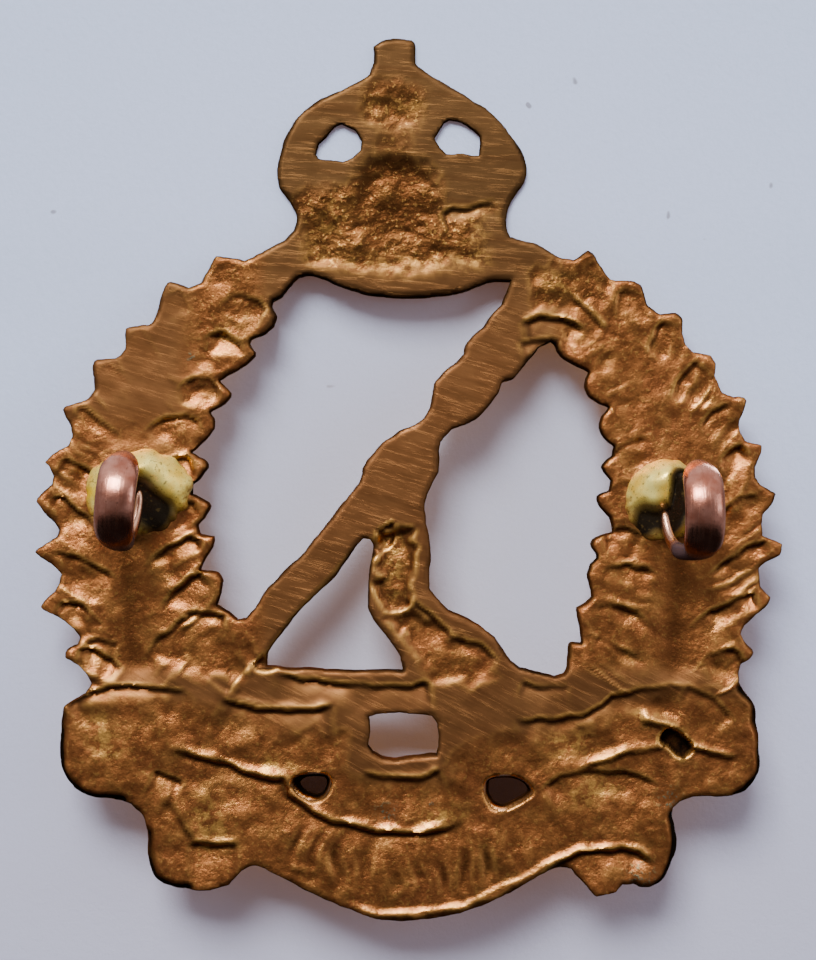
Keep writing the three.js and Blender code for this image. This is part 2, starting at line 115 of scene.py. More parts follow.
WREATH_LEFT = [
    (-17.75, -10.6), (-17.4, -10.0), (-17.65, -9.5), (-18.05, -9.0), (-18.8, -8.6), (-18.75, -8.2),
    (-18.15, -7.85), (-18.0, -7.5), (-18.35, -7.0), (-18.95, -6.5), (-20.2, -5.9), (-19.95, -5.5),
    (-19.4, -5.0), (-19.15, -4.6), (-19.05, -4.05), (-19.4, -3.65), (-20.55, -2.8), (-19.95, -2.4),
    (-19.25, -2.0), (-19.15, -1.65), (-19.35, -1.25), (-19.85, -0.85), (-20.45, 0.0), (-20.05, 0.4),
    (-19.5, 0.85), (-19.4, 1.3), (-19.65, 1.8), (-19.95, 2.05), (-19.4, 2.55), (-18.65, 3.0),
    (-18.4, 3.5), (-18.45, 4.0), (-18.75, 4.5), (-19.0, 5.05), (-18.0, 5.35), (-17.6, 5.5), (-17.2, 6.0),
    (-17.25, 6.5), (-17.35, 7.25), (-17.2, 7.65), (-16.0, 7.7), (-15.7, 7.9), (-15.5, 8.25), (-15.6, 9.0),
    (-15.5, 9.45), (-14.25, 9.55), (-14.0, 9.75), (-13.75, 10.3), (-13.65, 11.0), (-13.4, 11.6),
    (-13.15, 11.9), (-12.6, 11.75), (-12.05, 11.6), (-11.4, 11.85), (-11.05, 12.4), (-10.8, 12.95),
    (-10.6, 13.35), (-9.5, 13.15), (-9.0, 13.0), (-8.5, 13.25), (-7.4, 13.85), (-6.8, 14.15),
]
CROWN_LEFT = smooth([
    (-6.35, 14.7), (-6.2, 15.4), (-6.6, 16.3), (-7.1, 17.0), (-7.3, 17.8), (-7.05, 19.1), (-6.5, 20.3),
    (-5.6, 21.35), (-4.4, 22.05), (-3.0, 22.7), (-2.2, 23.2),
])
OUTER_EDGE = np.vstack([
    FINIAL, CROWN_RIGHT, SHOULDER_RIGHT, WREATH_RIGHT, RIBBON_END_RIGHT, TAIL_RIGHT,
    TORN_EDGE, SWAG, TAIL_LEFT, RIBBON_END_LEFT, WREATH_LEFT, CROWN_LEFT,
])
LEFT_OPENING = np.vstack([
    smooth([
        (-6.1, 12.2), (-5.4, 12.25), (-4.4, 11.95), (-2.8, 11.35), (-0.8, 11.05), (1.3, 11.1),
        (2.9, 11.35), (4.3, 11.9), (5.5, 11.95),
    ]),
    [
        (5.3, 11.35), (5.0, 10.7), (4.5, 10.2), (4.0, 9.45), (3.4, 8.9), (3.0, 8.4), (2.95, 8.0),
        (2.5, 7.5), (1.8, 6.95), (1.35, 6.4), (1.25, 5.8), (1.1, 5.05), (0.75, 4.5), (0.3, 4.15),
        (-0.4, 3.85), (-1.05, 3.45), (-1.55, 3.1), (-1.95, 2.65), (-2.35, 2.2), (-2.6, 1.7), (-2.6, 1.4),
        (-2.75, 0.95), (-3.5, 0.05), (-4.3, -1.0), (-5.0, -1.9), (-6.0, -3.05), (-7.0, -4.05),
        (-8.0, -5.1), (-8.5, -5.95), (-9.0, -6.45), (-9.4, -6.5), (-9.85, -6.15), (-10.6, -5.75),
        (-10.35, -5.1), (-10.2, -4.35), (-10.5, -3.95), (-11.5, -3.85), (-11.2, -3.2), (-10.75, -2.6),
        (-10.65, -2.0), (-11.5, -1.85), (-11.6, -1.4), (-11.2, -1.0), (-10.85, -0.2), (-11.95, 0.3),
        (-11.95, 0.85), (-11.5, 1.15), (-11.0, 1.85), (-11.2, 2.2), (-11.95, 2.6), (-11.2, 3.25),
        (-10.65, 3.9), (-10.65, 4.4), (-10.9, 4.8), (-10.15, 5.25), (-9.7, 5.75), (-10.0, 6.1),
        (-10.4, 6.5), (-10.0, 6.8), (-9.4, 7.05), (-8.8, 7.5), (-8.4, 8.0), (-8.75, 8.5), (-8.7, 8.75),
        (-7.95, 9.05), (-7.5, 9.5), (-7.3, 10.05), (-7.55, 10.6), (-7.5, 10.85), (-7.0, 11.1),
        (-6.6, 11.7),
    ],
])
RIGHT_OPENING = [
    (7.7, 8.65), (7.9, 8.5), (8.05, 8.1), (8.5, 7.7), (9.0, 7.4), (9.8, 7.0), (9.6, 6.5), (9.55, 6.2),
    (9.8, 5.65), (10.3, 5.25), (10.85, 5.05), (10.5, 4.6), (10.35, 3.95), (10.5, 3.6), (10.85, 3.15),
    (11.15, 2.95), (11.1, 2.4), (10.75, 2.2), (10.45, 1.85), (10.7, 1.45), (11.0, 1.05), (10.9, 0.5),
    (10.3, 0.3), (10.15, 0.0), (10.35, -0.4), (10.9, -0.95), (11.1, -1.75), (10.6, -1.9), (10.0, -2.15),
    (9.85, -2.5), (10.2, -2.95), (10.2, -3.2), (9.85, -3.5), (9.65, -4.05), (9.7, -4.35), (9.85, -4.9),
    (9.9, -5.3), (9.55, -5.65), (9.1, -5.9), (9.15, -6.25), (9.3, -7.0), (9.35, -7.8), (8.8, -7.75),
    (8.65, -7.95), (8.55, -9.2), (8.4, -9.5), (7.95, -9.65), (7.0, -9.4), (6.0, -9.2), (5.5, -8.8),
    (5.0, -8.05), (4.65, -7.5), (3.9, -6.9), (3.0, -6.4), (2.1, -6.0), (1.5, -5.35), (1.05, -4.85),
    (1.05, -4.2), (1.15, -3.05), (1.05, -2.1), (0.95, -1.6), (0.75, -0.4), (0.9, 0.3), (1.15, 0.85),
    (1.55, 1.5), (1.6, 2.1), (1.6, 2.65), (1.7, 3.15), (2.25, 3.85), (3.0, 4.1), (3.7, 4.45), (4.3, 5.15),
    (4.85, 5.9), (5.05, 6.45), (5.7, 6.65), (6.1, 7.15), (6.65, 7.8), (7.05, 8.3),
]
LOW_OPENING = [
    (-2.55, -2.1), (-2.15, -2.15), (-2.0, -2.5), (-2.1, -3.05), (-2.25, -4.0), (-2.3, -5.05),
    (-2.3, -5.9), (-2.0, -6.5), (-1.45, -7.25), (-0.95, -7.9), (-0.5, -8.5), (-0.4, -9.3), (-4.0, -9.3),
    (-7.85, -9.1), (-7.8, -8.4), (-7.0, -7.25), (-6.0, -6.0), (-5.0, -5.05), (-4.0, -4.1), (-3.6, -3.5),
    (-2.95, -2.5),
]
CROWN_EYE_LEFT = [
    (-5.1, 18.85), (-4.95, 19.4), (-4.5, 19.9), (-4.1, 20.35), (-3.75, 20.5), (-3.0, 20.1),
    (-2.65, 19.55), (-2.7, 19.05), (-3.1, 18.65), (-3.65, 18.4), (-4.35, 18.5), (-4.95, 18.6),
]
CROWN_EYE_RIGHT = [
    (1.35, 19.7), (1.6, 20.15), (1.85, 20.55), (2.15, 20.7), (2.7, 20.6), (3.35, 20.2), (3.75, 19.8),
    (3.8, 19.15), (3.75, 18.75), (3.4, 18.75), (2.9, 18.9), (2.0, 18.85), (1.65, 19.15),
]
SQUARE_HOLE = [
    (-2.25, -11.85), (-1.8, -11.7), (-0.6, -11.6), (1.2, -11.75), (1.5, -12.2), (1.55, -13.4),
    (1.45, -13.9), (0.0, -14.0), (-0.75, -14.15), (-1.5, -14.05), (-2.0, -13.8), (-2.3, -13.4),
    (-2.2, -12.7),
]
SMALL_HOLE_LEFT = round_loop([
    (-6.45, -15.3), (-6.4, -15.6), (-5.95, -16.1), (-5.3, -16.35), (-4.75, -16.2), (-4.45, -15.8),
    (-4.35, -15.3), (-4.6, -15.0), (-5.3, -14.95), (-6.1, -15.05),
])
SMALL_HOLE_RIGHT = round_loop([
    (4.1, -15.75), (4.2, -15.3), (4.75, -15.1), (5.6, -15.1), (6.3, -15.4), (6.65, -15.9), (6.3, -16.25),
    (5.7, -16.6), (5.05, -16.85), (4.5, -16.7), (4.15, -16.15),
])
SMALL_HOLES = (SMALL_HOLE_LEFT, SMALL_HOLE_RIGHT)  # at the back; they taper in towards the face
EDGES = [
    OUTER_EDGE, LEFT_OPENING, RIGHT_OPENING, LOW_OPENING, CROWN_EYE_LEFT, CROWN_EYE_RIGHT, SQUARE_HOLE,
    shrunk(SMALL_HOLE_LEFT, (-5.0, -15.8), 0.7), shrunk(SMALL_HOLE_RIGHT, (5.6, -16.0), 0.84),
]

# The wreath: stems from the ribbon up to the crown, and the tips of their leaves from the bottom up.
# Each row also says how deep its leaves are hollowed behind, lowest leaf first.
STEM_LEFT = smooth([
    (-15.0, -10.4), (-15.2, -6.0), (-15.4, -2.0), (-15.2, 2.0), (-14.0, 6.2), (-11.6, 9.8), (-8.0, 12.8),
])
STEM_RIGHT = smooth([
    (14.5, -10.4), (14.6, -6.0), (14.8, -2.0), (14.7, 2.0), (13.4, 6.0), (11.0, 9.6), (7.6, 12.4),
])
# The stems, and how high up their hollow reaches.
STEMS = ((STEM_LEFT, 0.5), (STEM_RIGHT, -1.0))
LEAF_ROWS = [
    (STEM_LEFT, [
        (-18.6, -8.5), (-20.0, -5.8), (-20.3, -2.85), (-20.3, 0.0), (-19.8, 2.1), (-18.8, 5.0),
        (-17.1, 7.45), (-15.4, 9.2), (-13.2, 11.7), (-10.5, 13.1),
    ], [0.5, 0.55, 0.5, 0.45, 0.35, 0.22, 0.06, 0.04, 0.04, 0.04]),
    (STEM_LEFT, [
        (-10.7, -5.7), (-10.6, -4.0), (-10.9, -2.0), (-11.0, -0.15), (-11.3, 1.9), (-10.9, 4.0),
        (-9.9, 5.8), (-8.6, 7.9), (-7.6, 9.9),
    ], [0.45, 0.5, 0.5, 0.4, 0.45, 0.4, 0.45, 0.35, 0.15]),
    (STEM_RIGHT, [
        (18.5, -8.3), (19.5, -5.3), (20.1, -2.5), (19.8, 0.4), (19.0, 2.95), (18.2, 5.5), (16.3, 7.7),
        (14.5, 10.0), (12.1, 11.8), (9.7, 13.4),
    ], [0.45, 0.5, 0.5, 0.4, 0.4, 0.42, 0.42, 0.3, 0.2, 0.12]),
    (STEM_RIGHT, [
        (9.3, -7.6), (9.3, -5.9), (9.85, -4.1), (10.0, -2.4), (10.3, 0.0), (10.7, 1.95), (10.7, 4.2),
        (9.8, 6.4), (8.6, 8.3),
    ], [0.2, 0.3, 0.35, 0.25, 0.1, 0.25, 0.06, 0.2, 0.12]),
]


# ---------------------------------------------------------------- fields over the plate
def segments(points, closed):
    """The starts and ends of the straight pieces between points."""
    p = np.asarray(points, float)
    return (p, np.roll(p, -1, axis=0)) if closed else (p[:-1], p[1:])


def distance(P, points, closed=True):
    """How far each of P is from the line through points, its side (+1 on the left), and how far along."""
    best = np.full(len(P), np.inf)
    side = np.zeros(len(P))
    along = np.zeros(len(P))
    starts, ends = segments(points, closed)
    for i, (a, b) in enumerate(zip(starts, ends)):
        ab = b - a
        rel = P - a
        t = np.clip(rel @ ab / max(ab @ ab, 1e-9), 0, 1)
        gap = rel - t[:, None] * ab
        d = np.hypot(gap[:, 0], gap[:, 1])
        near = d < best
        best = np.where(near, d, best)
        side = np.where(near, np.sign(ab[0] * rel[:, 1] - ab[1] * rel[:, 0]), side)
        along = np.where(near, (i + t) / len(starts), along)
    return best, side, along


def inside(P, points):
    """Even-odd test."""
    hit = np.zeros(len(P), bool)
    starts, ends = segments(points, True)
    for a, b in zip(starts, ends):
        spans = (a[1] > P[:, 1]) != (b[1] > P[:, 1])
        if a[1] == b[1]:
            continue
        cross = a[0] + (P[:, 1] - a[1]) / (b[1] - a[1]) * (b[0] - a[0])
        hit ^= spans & (P[:, 0] < cross)
    return hit


def within(P, points):
    """Signed distance to a closed outline, positive inside."""
    return np.where(inside(P, points), 1, -1) * distance(P, points)[0]


def off_line(P, points):
    return distance(P, points, closed=False)[0]


def step(low, high, x):
    """Rises smoothly from 0 at low to 1 at high, or falls where high is less than low."""
    t = np.clip((x - low) / (high - low), 0, 1)
    return t * t * (3 - 2 * t)


def tapered(along, share):
    """1 along a line, falling to 0 at both its ends."""
    return step(0.0, share, along) * step(1.0, 1 - share, along)


def bell(x, width):
    return np.exp(-((x / width) ** 2))


def dome(x, radius):
    """The height of a half circle of height 1."""
    return np.sqrt(np.clip(1 - (x / radius) ** 2, 0, 1))


def noise(P, size, seed):
    """Smooth noise between -1 and 1 whose lumps are about `size` mm across."""
    table = np.random.default_rng(seed).uniform(-1, 1, (97, 89))
    q = P / size + 1000.3
    cell = np.floor(q).astype(int)
    f = q - cell
    f = f * f * (3 - 2 * f)
    i, j = cell[:, 0], cell[:, 1]

    def corner(di, dj):
        return table[(i + di) % 97, (j + dj) % 89]

    low = corner(0, 0) * (1 - f[:, 0]) + corner(1, 0) * f[:, 0]
    high = corner(0, 1) * (1 - f[:, 0]) + corner(1, 1) * f[:, 0]
    return low * (1 - f[:, 1]) + high * f[:, 1]


def drift(P, size, seed):
    """Smooth noise for pushing points about."""
    return np.column_stack([noise(P, size, seed), noise(P, size, seed + 1)])


def cast(P, seed):
    """The lumpy skin of a cast recess."""
    turned = P @ np.array([[0.8, 0.6], [-0.6, 0.8]])
    return 0.5 * noise(P, 1.3, seed) + 0.33 * noise(turned, 0.62, seed + 1) + 0.2 * noise(P, 0.36, seed + 2)


def plate_distance(P):
    """Signed distance to the plate's edge, positive in the metal, a little ragged as a fretted edge is."""
    d = np.full(len(P), np.inf)
    hit = np.zeros(len(P), bool)
    for edge in EDGES:
        d = np.minimum(d, distance(P, edge)[0])
        hit ^= inside(P, edge)
    return np.where(hit, d, -d) + 0.035 * noise(P, 0.9, 5) + 0.02 * noise(P, 0.4, 6)


def leaves():
    """Each leaf's base, its tip, how deep it is hollowed behind, and its number."""
    out = []
    for stem, tips, depths in LEAF_ROWS:
        lengths = np.r_[0, np.cumsum(np.hypot(*np.diff(stem, axis=0).T))]
        for i, (tip, depth) in enumerate(zip(tips, depths)):
            at = lengths[-1] * i / (len(tips) + 0.5)
            base = np.array([np.interp(at, lengths, stem[:, 0]), np.interp(at, lengths, stem[:, 1])])
            out.append((base, np.array(tip), depth, len(out)))
    return out


def leaf_place(P, base, tip):
    """The share of the way along a leaf, how far above its midrib in mm, and the leaf's length."""
    bow = 0.08
    axis = tip - base
    length = np.hypot(*axis)
    rel = P - base
    s = rel @ axis / length**2
    up = np.array([-axis[1], axis[0]]) / length * (1 if axis[0] > 0 else -1)
    return s, rel @ up + bow * length * (4 * s * (1 - s) - 0.5), length


LEAVES = leaves()


# ---------------------------------------------------------------- the back
CROWN_HOLLOW = [
    (-5.9, 12.6), (-6.1, 14.2), (-6.5, 16.2), (-5.4, 17.1), (-3.4, 17.3), (-2.5, 18.2), (-1.8, 19.0),
    (-1.7, 20.4), (-2.7, 21.2), (-2.6, 22.3), (-0.9, 22.6), (0.6, 21.6), (0.2, 20.2), (0.1, 18.9),
    (1.2, 18.1), (2.0, 17.0), (2.2, 15.9), (4.6, 15.85), (4.1, 15.0), (4.15, 12.7), (2.4, 12.35),
    (0.0, 12.1), (-3.0, 12.2), (-5.0, 12.6),
]
# The ribbons' hollow runs off the plate's edge below and at both ends.
RIBBON_HOLLOW = [
    (-20.5, -12.0), (-18.8, -11.1), (-17.7, -10.6), (-15.3, -10.1), (-12.0, -10.5), (-10.0, -11.0),
    (-7.0, -11.9), (-3.4, -12.3), (-2.9, -14.3), (-1.0, -14.8), (1.6, -14.6), (3.0, -12.9), (6.5, -12.6),
    (8.5, -11.9), (10.3, -11.3), (11.2, -10.7), (14.5, -9.9), (18.0, -10.2), (20.5, -11.0), (20.5, -18.0),
    (16.0, -25.0), (-16.0, -25.0), (-20.5, -18.0),
]
SHOULDER_HOLLOW = [
    (6.2, 12.5), (8.0, 12.9), (9.9, 12.5), (10.9, 11.2), (10.2, 10.0), (8.6, 10.4), (6.6, 10.2),
]
LEG_HOLLOW = [(-1.8, -1.6), (0.1, -1.7), (0.1, -3.4), (0.15, -5.2), (-0.4, -6.2), (-1.5, -6.0), (-1.7, -4.2)]
FOOT_HOLLOW = [
    (-1.9, -6.4), (-0.4, -5.6), (0.9, -5.9), (2.3, -7.3), (4.2, -7.9), (4.9, -9.0), (4.0, -10.2),
    (1.0, -9.9), (0.3, -9.2), (-0.4, -7.8),
]
ARM_HOLLOW = [(-9.6, -6.9), (-8.3, -8.6), (-9.2, -10.2), (-12.6, -9.6), (-13.4, -7.0), (-11.6, -6.4)]
STRUT_BEVEL = [(-1.9, -1.8), (-3.2, -2.6), (-4.6, -4.2), (-6.4, -6.1), (-7.9, -8.2)]
SWAG_LIP = [
    (9.0, -19.2), (7.6, -19.9), (5.0, -21.2), (2.8, -22.15), (0.3, -22.55), (-1.6, -22.5), (-3.4, -22.0),
]

# Ridges left standing on the back: the line, its height, the drop on the right of its direction, its width.
RIDGES = [
    ([(-13.2, -13.4), (-12.2, -13.7), (-10.3, -14.2), (-8.3, -14.9), (-6.9, -15.1), (-6.5, -15.9),
      (-5.5, -16.7), (-4.3, -17.3), (-2.5, -17.85), (-1.0, -18.0), (0.6, -18.0), (1.9, -17.75),
      (2.9, -17.3)], 0.17, 0.3, 0.3),
    ([(-10.3, -10.6), (-9.3, -10.95), (-8.3, -11.15), (-6.7, -11.3), (-5.2, -11.3),
      (-4.2, -11.1)], 0.12, 0.3, 0.24),
    ([(-8.6, -9.0), (-9.4, -9.8), (-9.9, -10.6)], 0.1, 0.1, 0.25),
    ([(9.0, -14.8), (9.6, -14.5), (10.7, -14.0), (11.9, -13.7), (13.2, -13.45),
      (14.0, -13.3)], 0.15, 0.05, 0.28),
    ([(15.0, -13.35), (15.6, -13.5), (16.6, -13.7), (17.9, -13.95)], 0.13, 0.1, 0.24),
    ([(6.6, -20.5), (7.3, -20.0), (8.1, -19.5), (9.1, -19.15), (10.3, -18.95), (11.5, -18.9), (12.5, -19.1),
      (13.5, -19.8)], 0.2, 0.3, 0.26),
    ([(-12.2, -18.65), (-11.2, -18.6), (-10.2, -18.65), (-9.2, -18.7)], 0.12, 0.18, 0.2),
    ([(-13.6, -15.9), (-12.9, -16.6), (-12.2, -17.4), (-11.8, -18.4)], 0.07, 0.0, 0.4),
    ([(8.7, 11.4), (9.8, 10.4), (10.8, 9.3)], 0.12, 0.08, 0.25),
    ([(5.8, 9.7), (7.2, 10.1), (8.4, 10.0), (9.6, 9.4)], 0.12, 0.22, 0.25),
    ([(-2.6, -14.6), (-1.4, -14.95), (-0.2, -15.05), (1.0, -14.9), (1.7, -14.6)], 0.08, 0.2, 0.22),
    ([(12.5, -11.8), (13.3, -12.1), (14.0, -12.2), (14.6, -12.6)], 0.24, 0.0, 0.34),
    ([(-6.6, -20.0), (-5.8, -20.25), (-4.9, -20.3)], 0.12, 0.0, 0.3),
    (SWAG_LIP, 0.2, 0.0, 0.3),
]
# Sharp steps down, on the right of each line's direction, and how far the low ground reaches.
STEPS = [
    ([(-18.9, -11.2), (-17.8, -10.5), (-16.5, -10.1), (-15.3, -10.0), (-13.5, -10.15),
      (-12.0, -10.4)], 0.22, 1.6),
    ([(-7.6, -9.35), (-5.0, -9.75), (-2.0, -10.05), (0.0, -10.05), (1.2, -9.8)], 0.22, 0.9),
    ([(5.6, -11.8), (6.6, -11.95), (8.1, -11.8), (9.4, -11.6), (10.3, -11.2), (10.9, -10.6), (12.3, -10.3),
      (14.0, -10.0), (15.4, -10.1)], 0.24, 2.4),
    ([(15.0, -9.9), (16.6, -10.8), (17.7, -12.0)], 0.14, 1.0),
    ([(7.0, -15.7), (8.1, -14.95), (9.5, -14.75), (11.1, -14.7), (12.5, -14.95), (13.6, -15.5)], 0.2, 1.6),
    ([(6.0, -9.9), (7.4, -10.15), (8.6, -10.1)], 0.16, 0.4),
    ([(0.2, -5.3), (1.0, -5.95), (2.5, -7.45), (4.0, -7.8), (5.0, -8.8)], 0.22, 1.2),
    ([(1.6, 15.6), (2.4, 15.95), (3.4, 16.0), (4.6, 16.3)], 0.22, 0.6),
    ([(5.9, 8.7), (7.2, 8.85), (8.2, 8.7)], 0.15, 0.6),
    ([(-17.7, -7.7), (-16.8, -7.6), (-15.8, -7.75)], 0.25, 0.6),
    ([(-14.0, -14.6), (-13.2, -14.9), (-12.3, -15.3)], 0.2, 0.8),
    ([(-13.2, -16.2), (-12.4, -17.2), (-11.9, -18.3), (-11.2, -18.8), (-9.6, -18.75)], 0.16, 0.7),
    ([(-12.3, -6.0), (-11.2, -6.1), (-9.9, -6.3)], 0.28, 0.6),
]
SLOT = [(14.15, -12.95), (14.85, -13.5)]  # the mouth of a blow hole in the casting
PADS = [((-15.0, 0.4), 2.7), ((14.0, 0.0), 2.3)]  # unhollowed ground under the braze
# The ribbons' ends and tails, whose edges are rubbed round and dark.
ENDS = [
    [(18.4, -10.6), (18.9, -12.6), (18.9, -14.8), (18.3, -16.0)],
    [(14.3, -17.6), (14.4, -19.6), (13.8, -20.9), (12.8, -21.2)],
    [(-19.1, -12.2), (-18.9, -14.4), (-18.0, -15.8), (-16.2, -16.3)],
    [(-14.4, -18.6), (-14.0, -20.4), (-12.6, -21.2)],
]


def leaf_hollows(P):
    """The hollows behind the leaves, little spoons whose upper edge is steep, with thin ridges and folds."""
    low = np.zeros(len(P))
    ridge = np.zeros(len(P))
    Q = P + 0.2 * drift(P, 1.1, 41)
    Q = Q + 0.07 * drift(P, 0.5, 44)
    uneven = 0.75 + 0.6 * noise(P, 1.0, 43)
    for base, tip, depth, number in LEAVES:
        s, q, length = leaf_place(Q, base, tip)
        near = np.nonzero((s > -0.1) & (s < 1.1) & (np.abs(q) < 1.9))[0]
        s, q = s[near], q[near]
        # The hollow starts nearer the stem on some leaves than on others.
        first = 0.24 + 0.14 * math.sin(2.4 * number)
        place = np.clip((s - first) / (0.9 - first), 0.0001, 0.9999)
        half = 1.12 * np.sin(np.pi * place) ** 0.4
        t = q / np.maximum(half, 0.05)
        ramp = np.clip((t + 1) / 1.75, 0, 1) ** 0.8
        wall = step(1.0, 0.8, t)
        sunk = -0.6 * depth * ramp * wall * uneven[near] * step(0.05, 0.42, place) * step(1.0, 0.9, place)
        low[near] = np.minimum(low[near], sunk)
        line = bell(q + 1.0, 0.14) * step(0.3, 0.55, s) * step(0.95, 0.8, s)
        folds = noise(np.column_stack([s * length / 2.0 + 3.1 * number, q / 0.4]), 1.0, 46)
        spread = step(1.3, 0.7, np.abs(q)) * step(0.15, 0.4, s) * step(1.05, 0.85, s)
        crest = np.maximum(0.4 * line * uneven[near], 0.19 * np.maximum(folds, 0) * spread)
        ridge[near] = np.maximum(ridge[near], depth * crest)
    return low + ridge - 0.02


def crown_middle(P, ragged=0.0):
    """The dark round hollow in the middle of the crown."""
    return step(3.0, 1.4, np.hypot(P[:, 0] + 0.8, P[:, 1] - 16.3) + ragged)


def lower_band(P):
    """1 along the back of the lower ribbon, under its ridge."""
    return bell(P[:, 1] + 20.4 - 0.035 * P[:, 0] ** 2, 1.05) * step(7.0, 5.6, np.abs(P[:, 0] + 0.3))


def flutes(P):
    """Uneven flutes across the back of the lower ribbon."""
    pitch = 1.45
    along = P[:, 0] * (1 + 0.07 * (P[:, 1] + 20.4)) + 0.5 * noise(P, 1.7, 68)
    deep = np.clip(0.75 + 0.7 * noise(P, 1.9, 240), 0.1, 1.4)
    return np.clip(np.sin(along * 2 * np.pi / pitch), -0.3, 1) * deep * lower_band(P)


def off_slot(P):
    return off_line(P, SLOT) + 0.1 * noise(P, 0.6, 29)


def beside_eyes(P):
    """1 round the crown's two small openings."""
    return step(-1.0, -0.6, np.maximum(within(P, CROWN_EYE_LEFT), within(P, CROWN_EYE_RIGHT)))


def back_ground(P):
    """Height of the back before its fine skin, and how rough its casting is, 0 where it has been filed."""
    w = leaf_hollows(P)
    rough = step(0.02, 0.1, np.abs(w))
    for stem, top in STEMS:
        fade = step(top + 2.5, top - 2.5, P[:, 1]) * step(-10.4, -9.0, P[:, 1])
        w = w - 0.26 * bell(off_line(P, stem), 1.3) * fade
    ragged = 0.35 * noise(P, 1.4, 11) + 0.3 * noise(P, 0.5, 12)
    for outline, depth, reach in (
        (CROWN_HOLLOW, 0.1, 1.0), (RIBBON_HOLLOW, 0.12, 1.5), (SHOULDER_HOLLOW, 0.12, 0.7),
        (LEG_HOLLOW, 0.4, 0.45), (FOOT_HOLLOW, 0.2, 0.7), (ARM_HOLLOW, 0.12, 0.9),
    ):
        cover = step(-0.2, reach, within(P, outline) + ragged)
        w = np.minimum(w, -depth * cover)
        rough = np.maximum(rough, cover)
    # Between the crown's two small openings the hollow is shallow and half filed away.
    column = step(18.3, 19.0, P[:, 1]) * step(21.0, 20.2, P[:, 1]) * step(7.0, 5.0, np.abs(P[:, 0]))
    w = w * (1 - 0.6 * column)
    rough = rough * (1 - 0.55 * column)
    middle = crown_middle(P, ragged)
    w = w - 0.12 * middle
    top = step(1.9, 0.9, np.hypot((P[:, 0] + 0.8) / 1.2, P[:, 1] - 21.5) + ragged)
    w = w - 0.06 * top
    rough = np.maximum(rough, np.maximum(middle, 0.8 * top))
    w = w - 0.05 * step(14.4, 12.9, P[:, 1]) * step(-0.1, 0.9, within(P, CROWN_HOLLOW))
    w = w - 0.9 * step(0.54, 0.34, off_slot(P))
    for hole in SMALL_HOLES:
        w = w - step(-0.12, 0.2, within(P, hole))
    d, side, _ = distance(P, STRUT_BEVEL, closed=False)
    w = w - 0.3 * step(0.1, 0.75, np.where(side > 0, d, 0)) * step(1.2, 0.9, d)
    Q = P + 0.1 * drift(P, 0.8, 26)
    broken = np.clip(0.95 + 0.7 * noise(P, 1.2, 28), 0.25, 1.5)
    for line, drop, reach in STEPS:
        d, side, along = distance(Q, line, closed=False)
        low = np.where(side < 0, step(0.0, 0.22, d) * np.exp(-d / reach), 0)
        w = w - drop * broken * low * tapered(along, 0.12)
    for line, height, drop, wide in RIDGES:
        d, side, along = distance(Q, line, closed=False)
        ends = tapered(along, 0.15)
        flank = np.where(side < 0, 0.6 * wide, wide)
        w = w + height * bell(d, flank) * ends * (0.85 + 0.5 * noise(P, 0.9, 24))
        w = w - drop * np.where(side < 0, step(0.02, 0.3, d) * np.exp(-d / 1.5), 0) * ends
    w = w - 0.12 * flutes(P)
    # Swells of the cast ground, wherever the file hasn't reached.
    w = w + (0.075 * noise(P, 2.1, 21) + 0.045 * noise(P, 1.0, 22)) * rough
    wreath = step(-9.6, -8.6, P[:, 1]) * step(7.5, 9.0, np.abs(P[:, 0]))
    filed = step(1.5, 5.5, P[:, 1]) * step(-11.0, -13.0, P[:, 0])
    w = w - 0.05 * wreath * (1 - filed) * (0.9 + noise(P, 1.4, 23))
    rough = np.maximum(rough, 0.95 * wreath * (1 - filed))
    pad = np.zeros(len(P))
    for (u, v), r in PADS:
        pad = np.maximum(pad, step(r + 0.3, r - 0.6, np.hypot(P[:, 0] - u, P[:, 1] - v)))
    w = w * (1 - 0.8 * pad)
    return np.minimum(w, 0.03), rough


def worn_ends(P, edge):
    """1 along the ribbons' ends and tails, whose edges are rounded off and dark."""
    near = np.zeros(len(P))
    for line in ENDS:
        near = np.maximum(near, step(1.1, 0.4, off_line(P, line)))
    return near * step(0.52, 0.08, edge + 0.12 * noise(P, 0.9, 66))


def grit_at(P):
    """How gritty the casting is: coarse in the crown, down the device's leg and on the shoulder."""
    grit = step(11.9, 13.0, P[:, 1]) * step(7.2, 6.0, np.abs(P[:, 0] + 0.5)) * (1 - 0.45 * crown_middle(P))
    for outline in (LEG_HOLLOW, SHOULDER_HOLLOW):
        grit = np.maximum(grit, 0.8 * step(-0.2, 0.6, within(P, outline)))
    return grit


def back(P, edge):
    """Height of the back, and how rough its casting is."""
    ground, rough = back_ground(P)
    grit = grit_at(P)
    skin = cast(P, 31) * 0.04 * (1 - grit) + cast(2.0 * P, 131) * 0.036 * grit
    fine = np.clip(noise(P, 0.34, 35) + 0.35 * noise(P, 0.9, 36), -0.3, 1) * (0.012 + 0.014 * grit)
    w = ground + rough * (skin + fine) + (1 - rough) * (0.012 * noise(P, 1.9, 37) + 0.005 * noise(P, 0.5, 38))
    burr = 0.06 * (1 + 0.7 * noise(P, 1.2, 39)) * (1 - 0.7 * beside_eyes(P))
    w = w - 0.45 * worn_ends(P, edge) ** 2
    return w - burr * (1 - step(0.0, 0.2, edge - INSET)) ** 2, rough


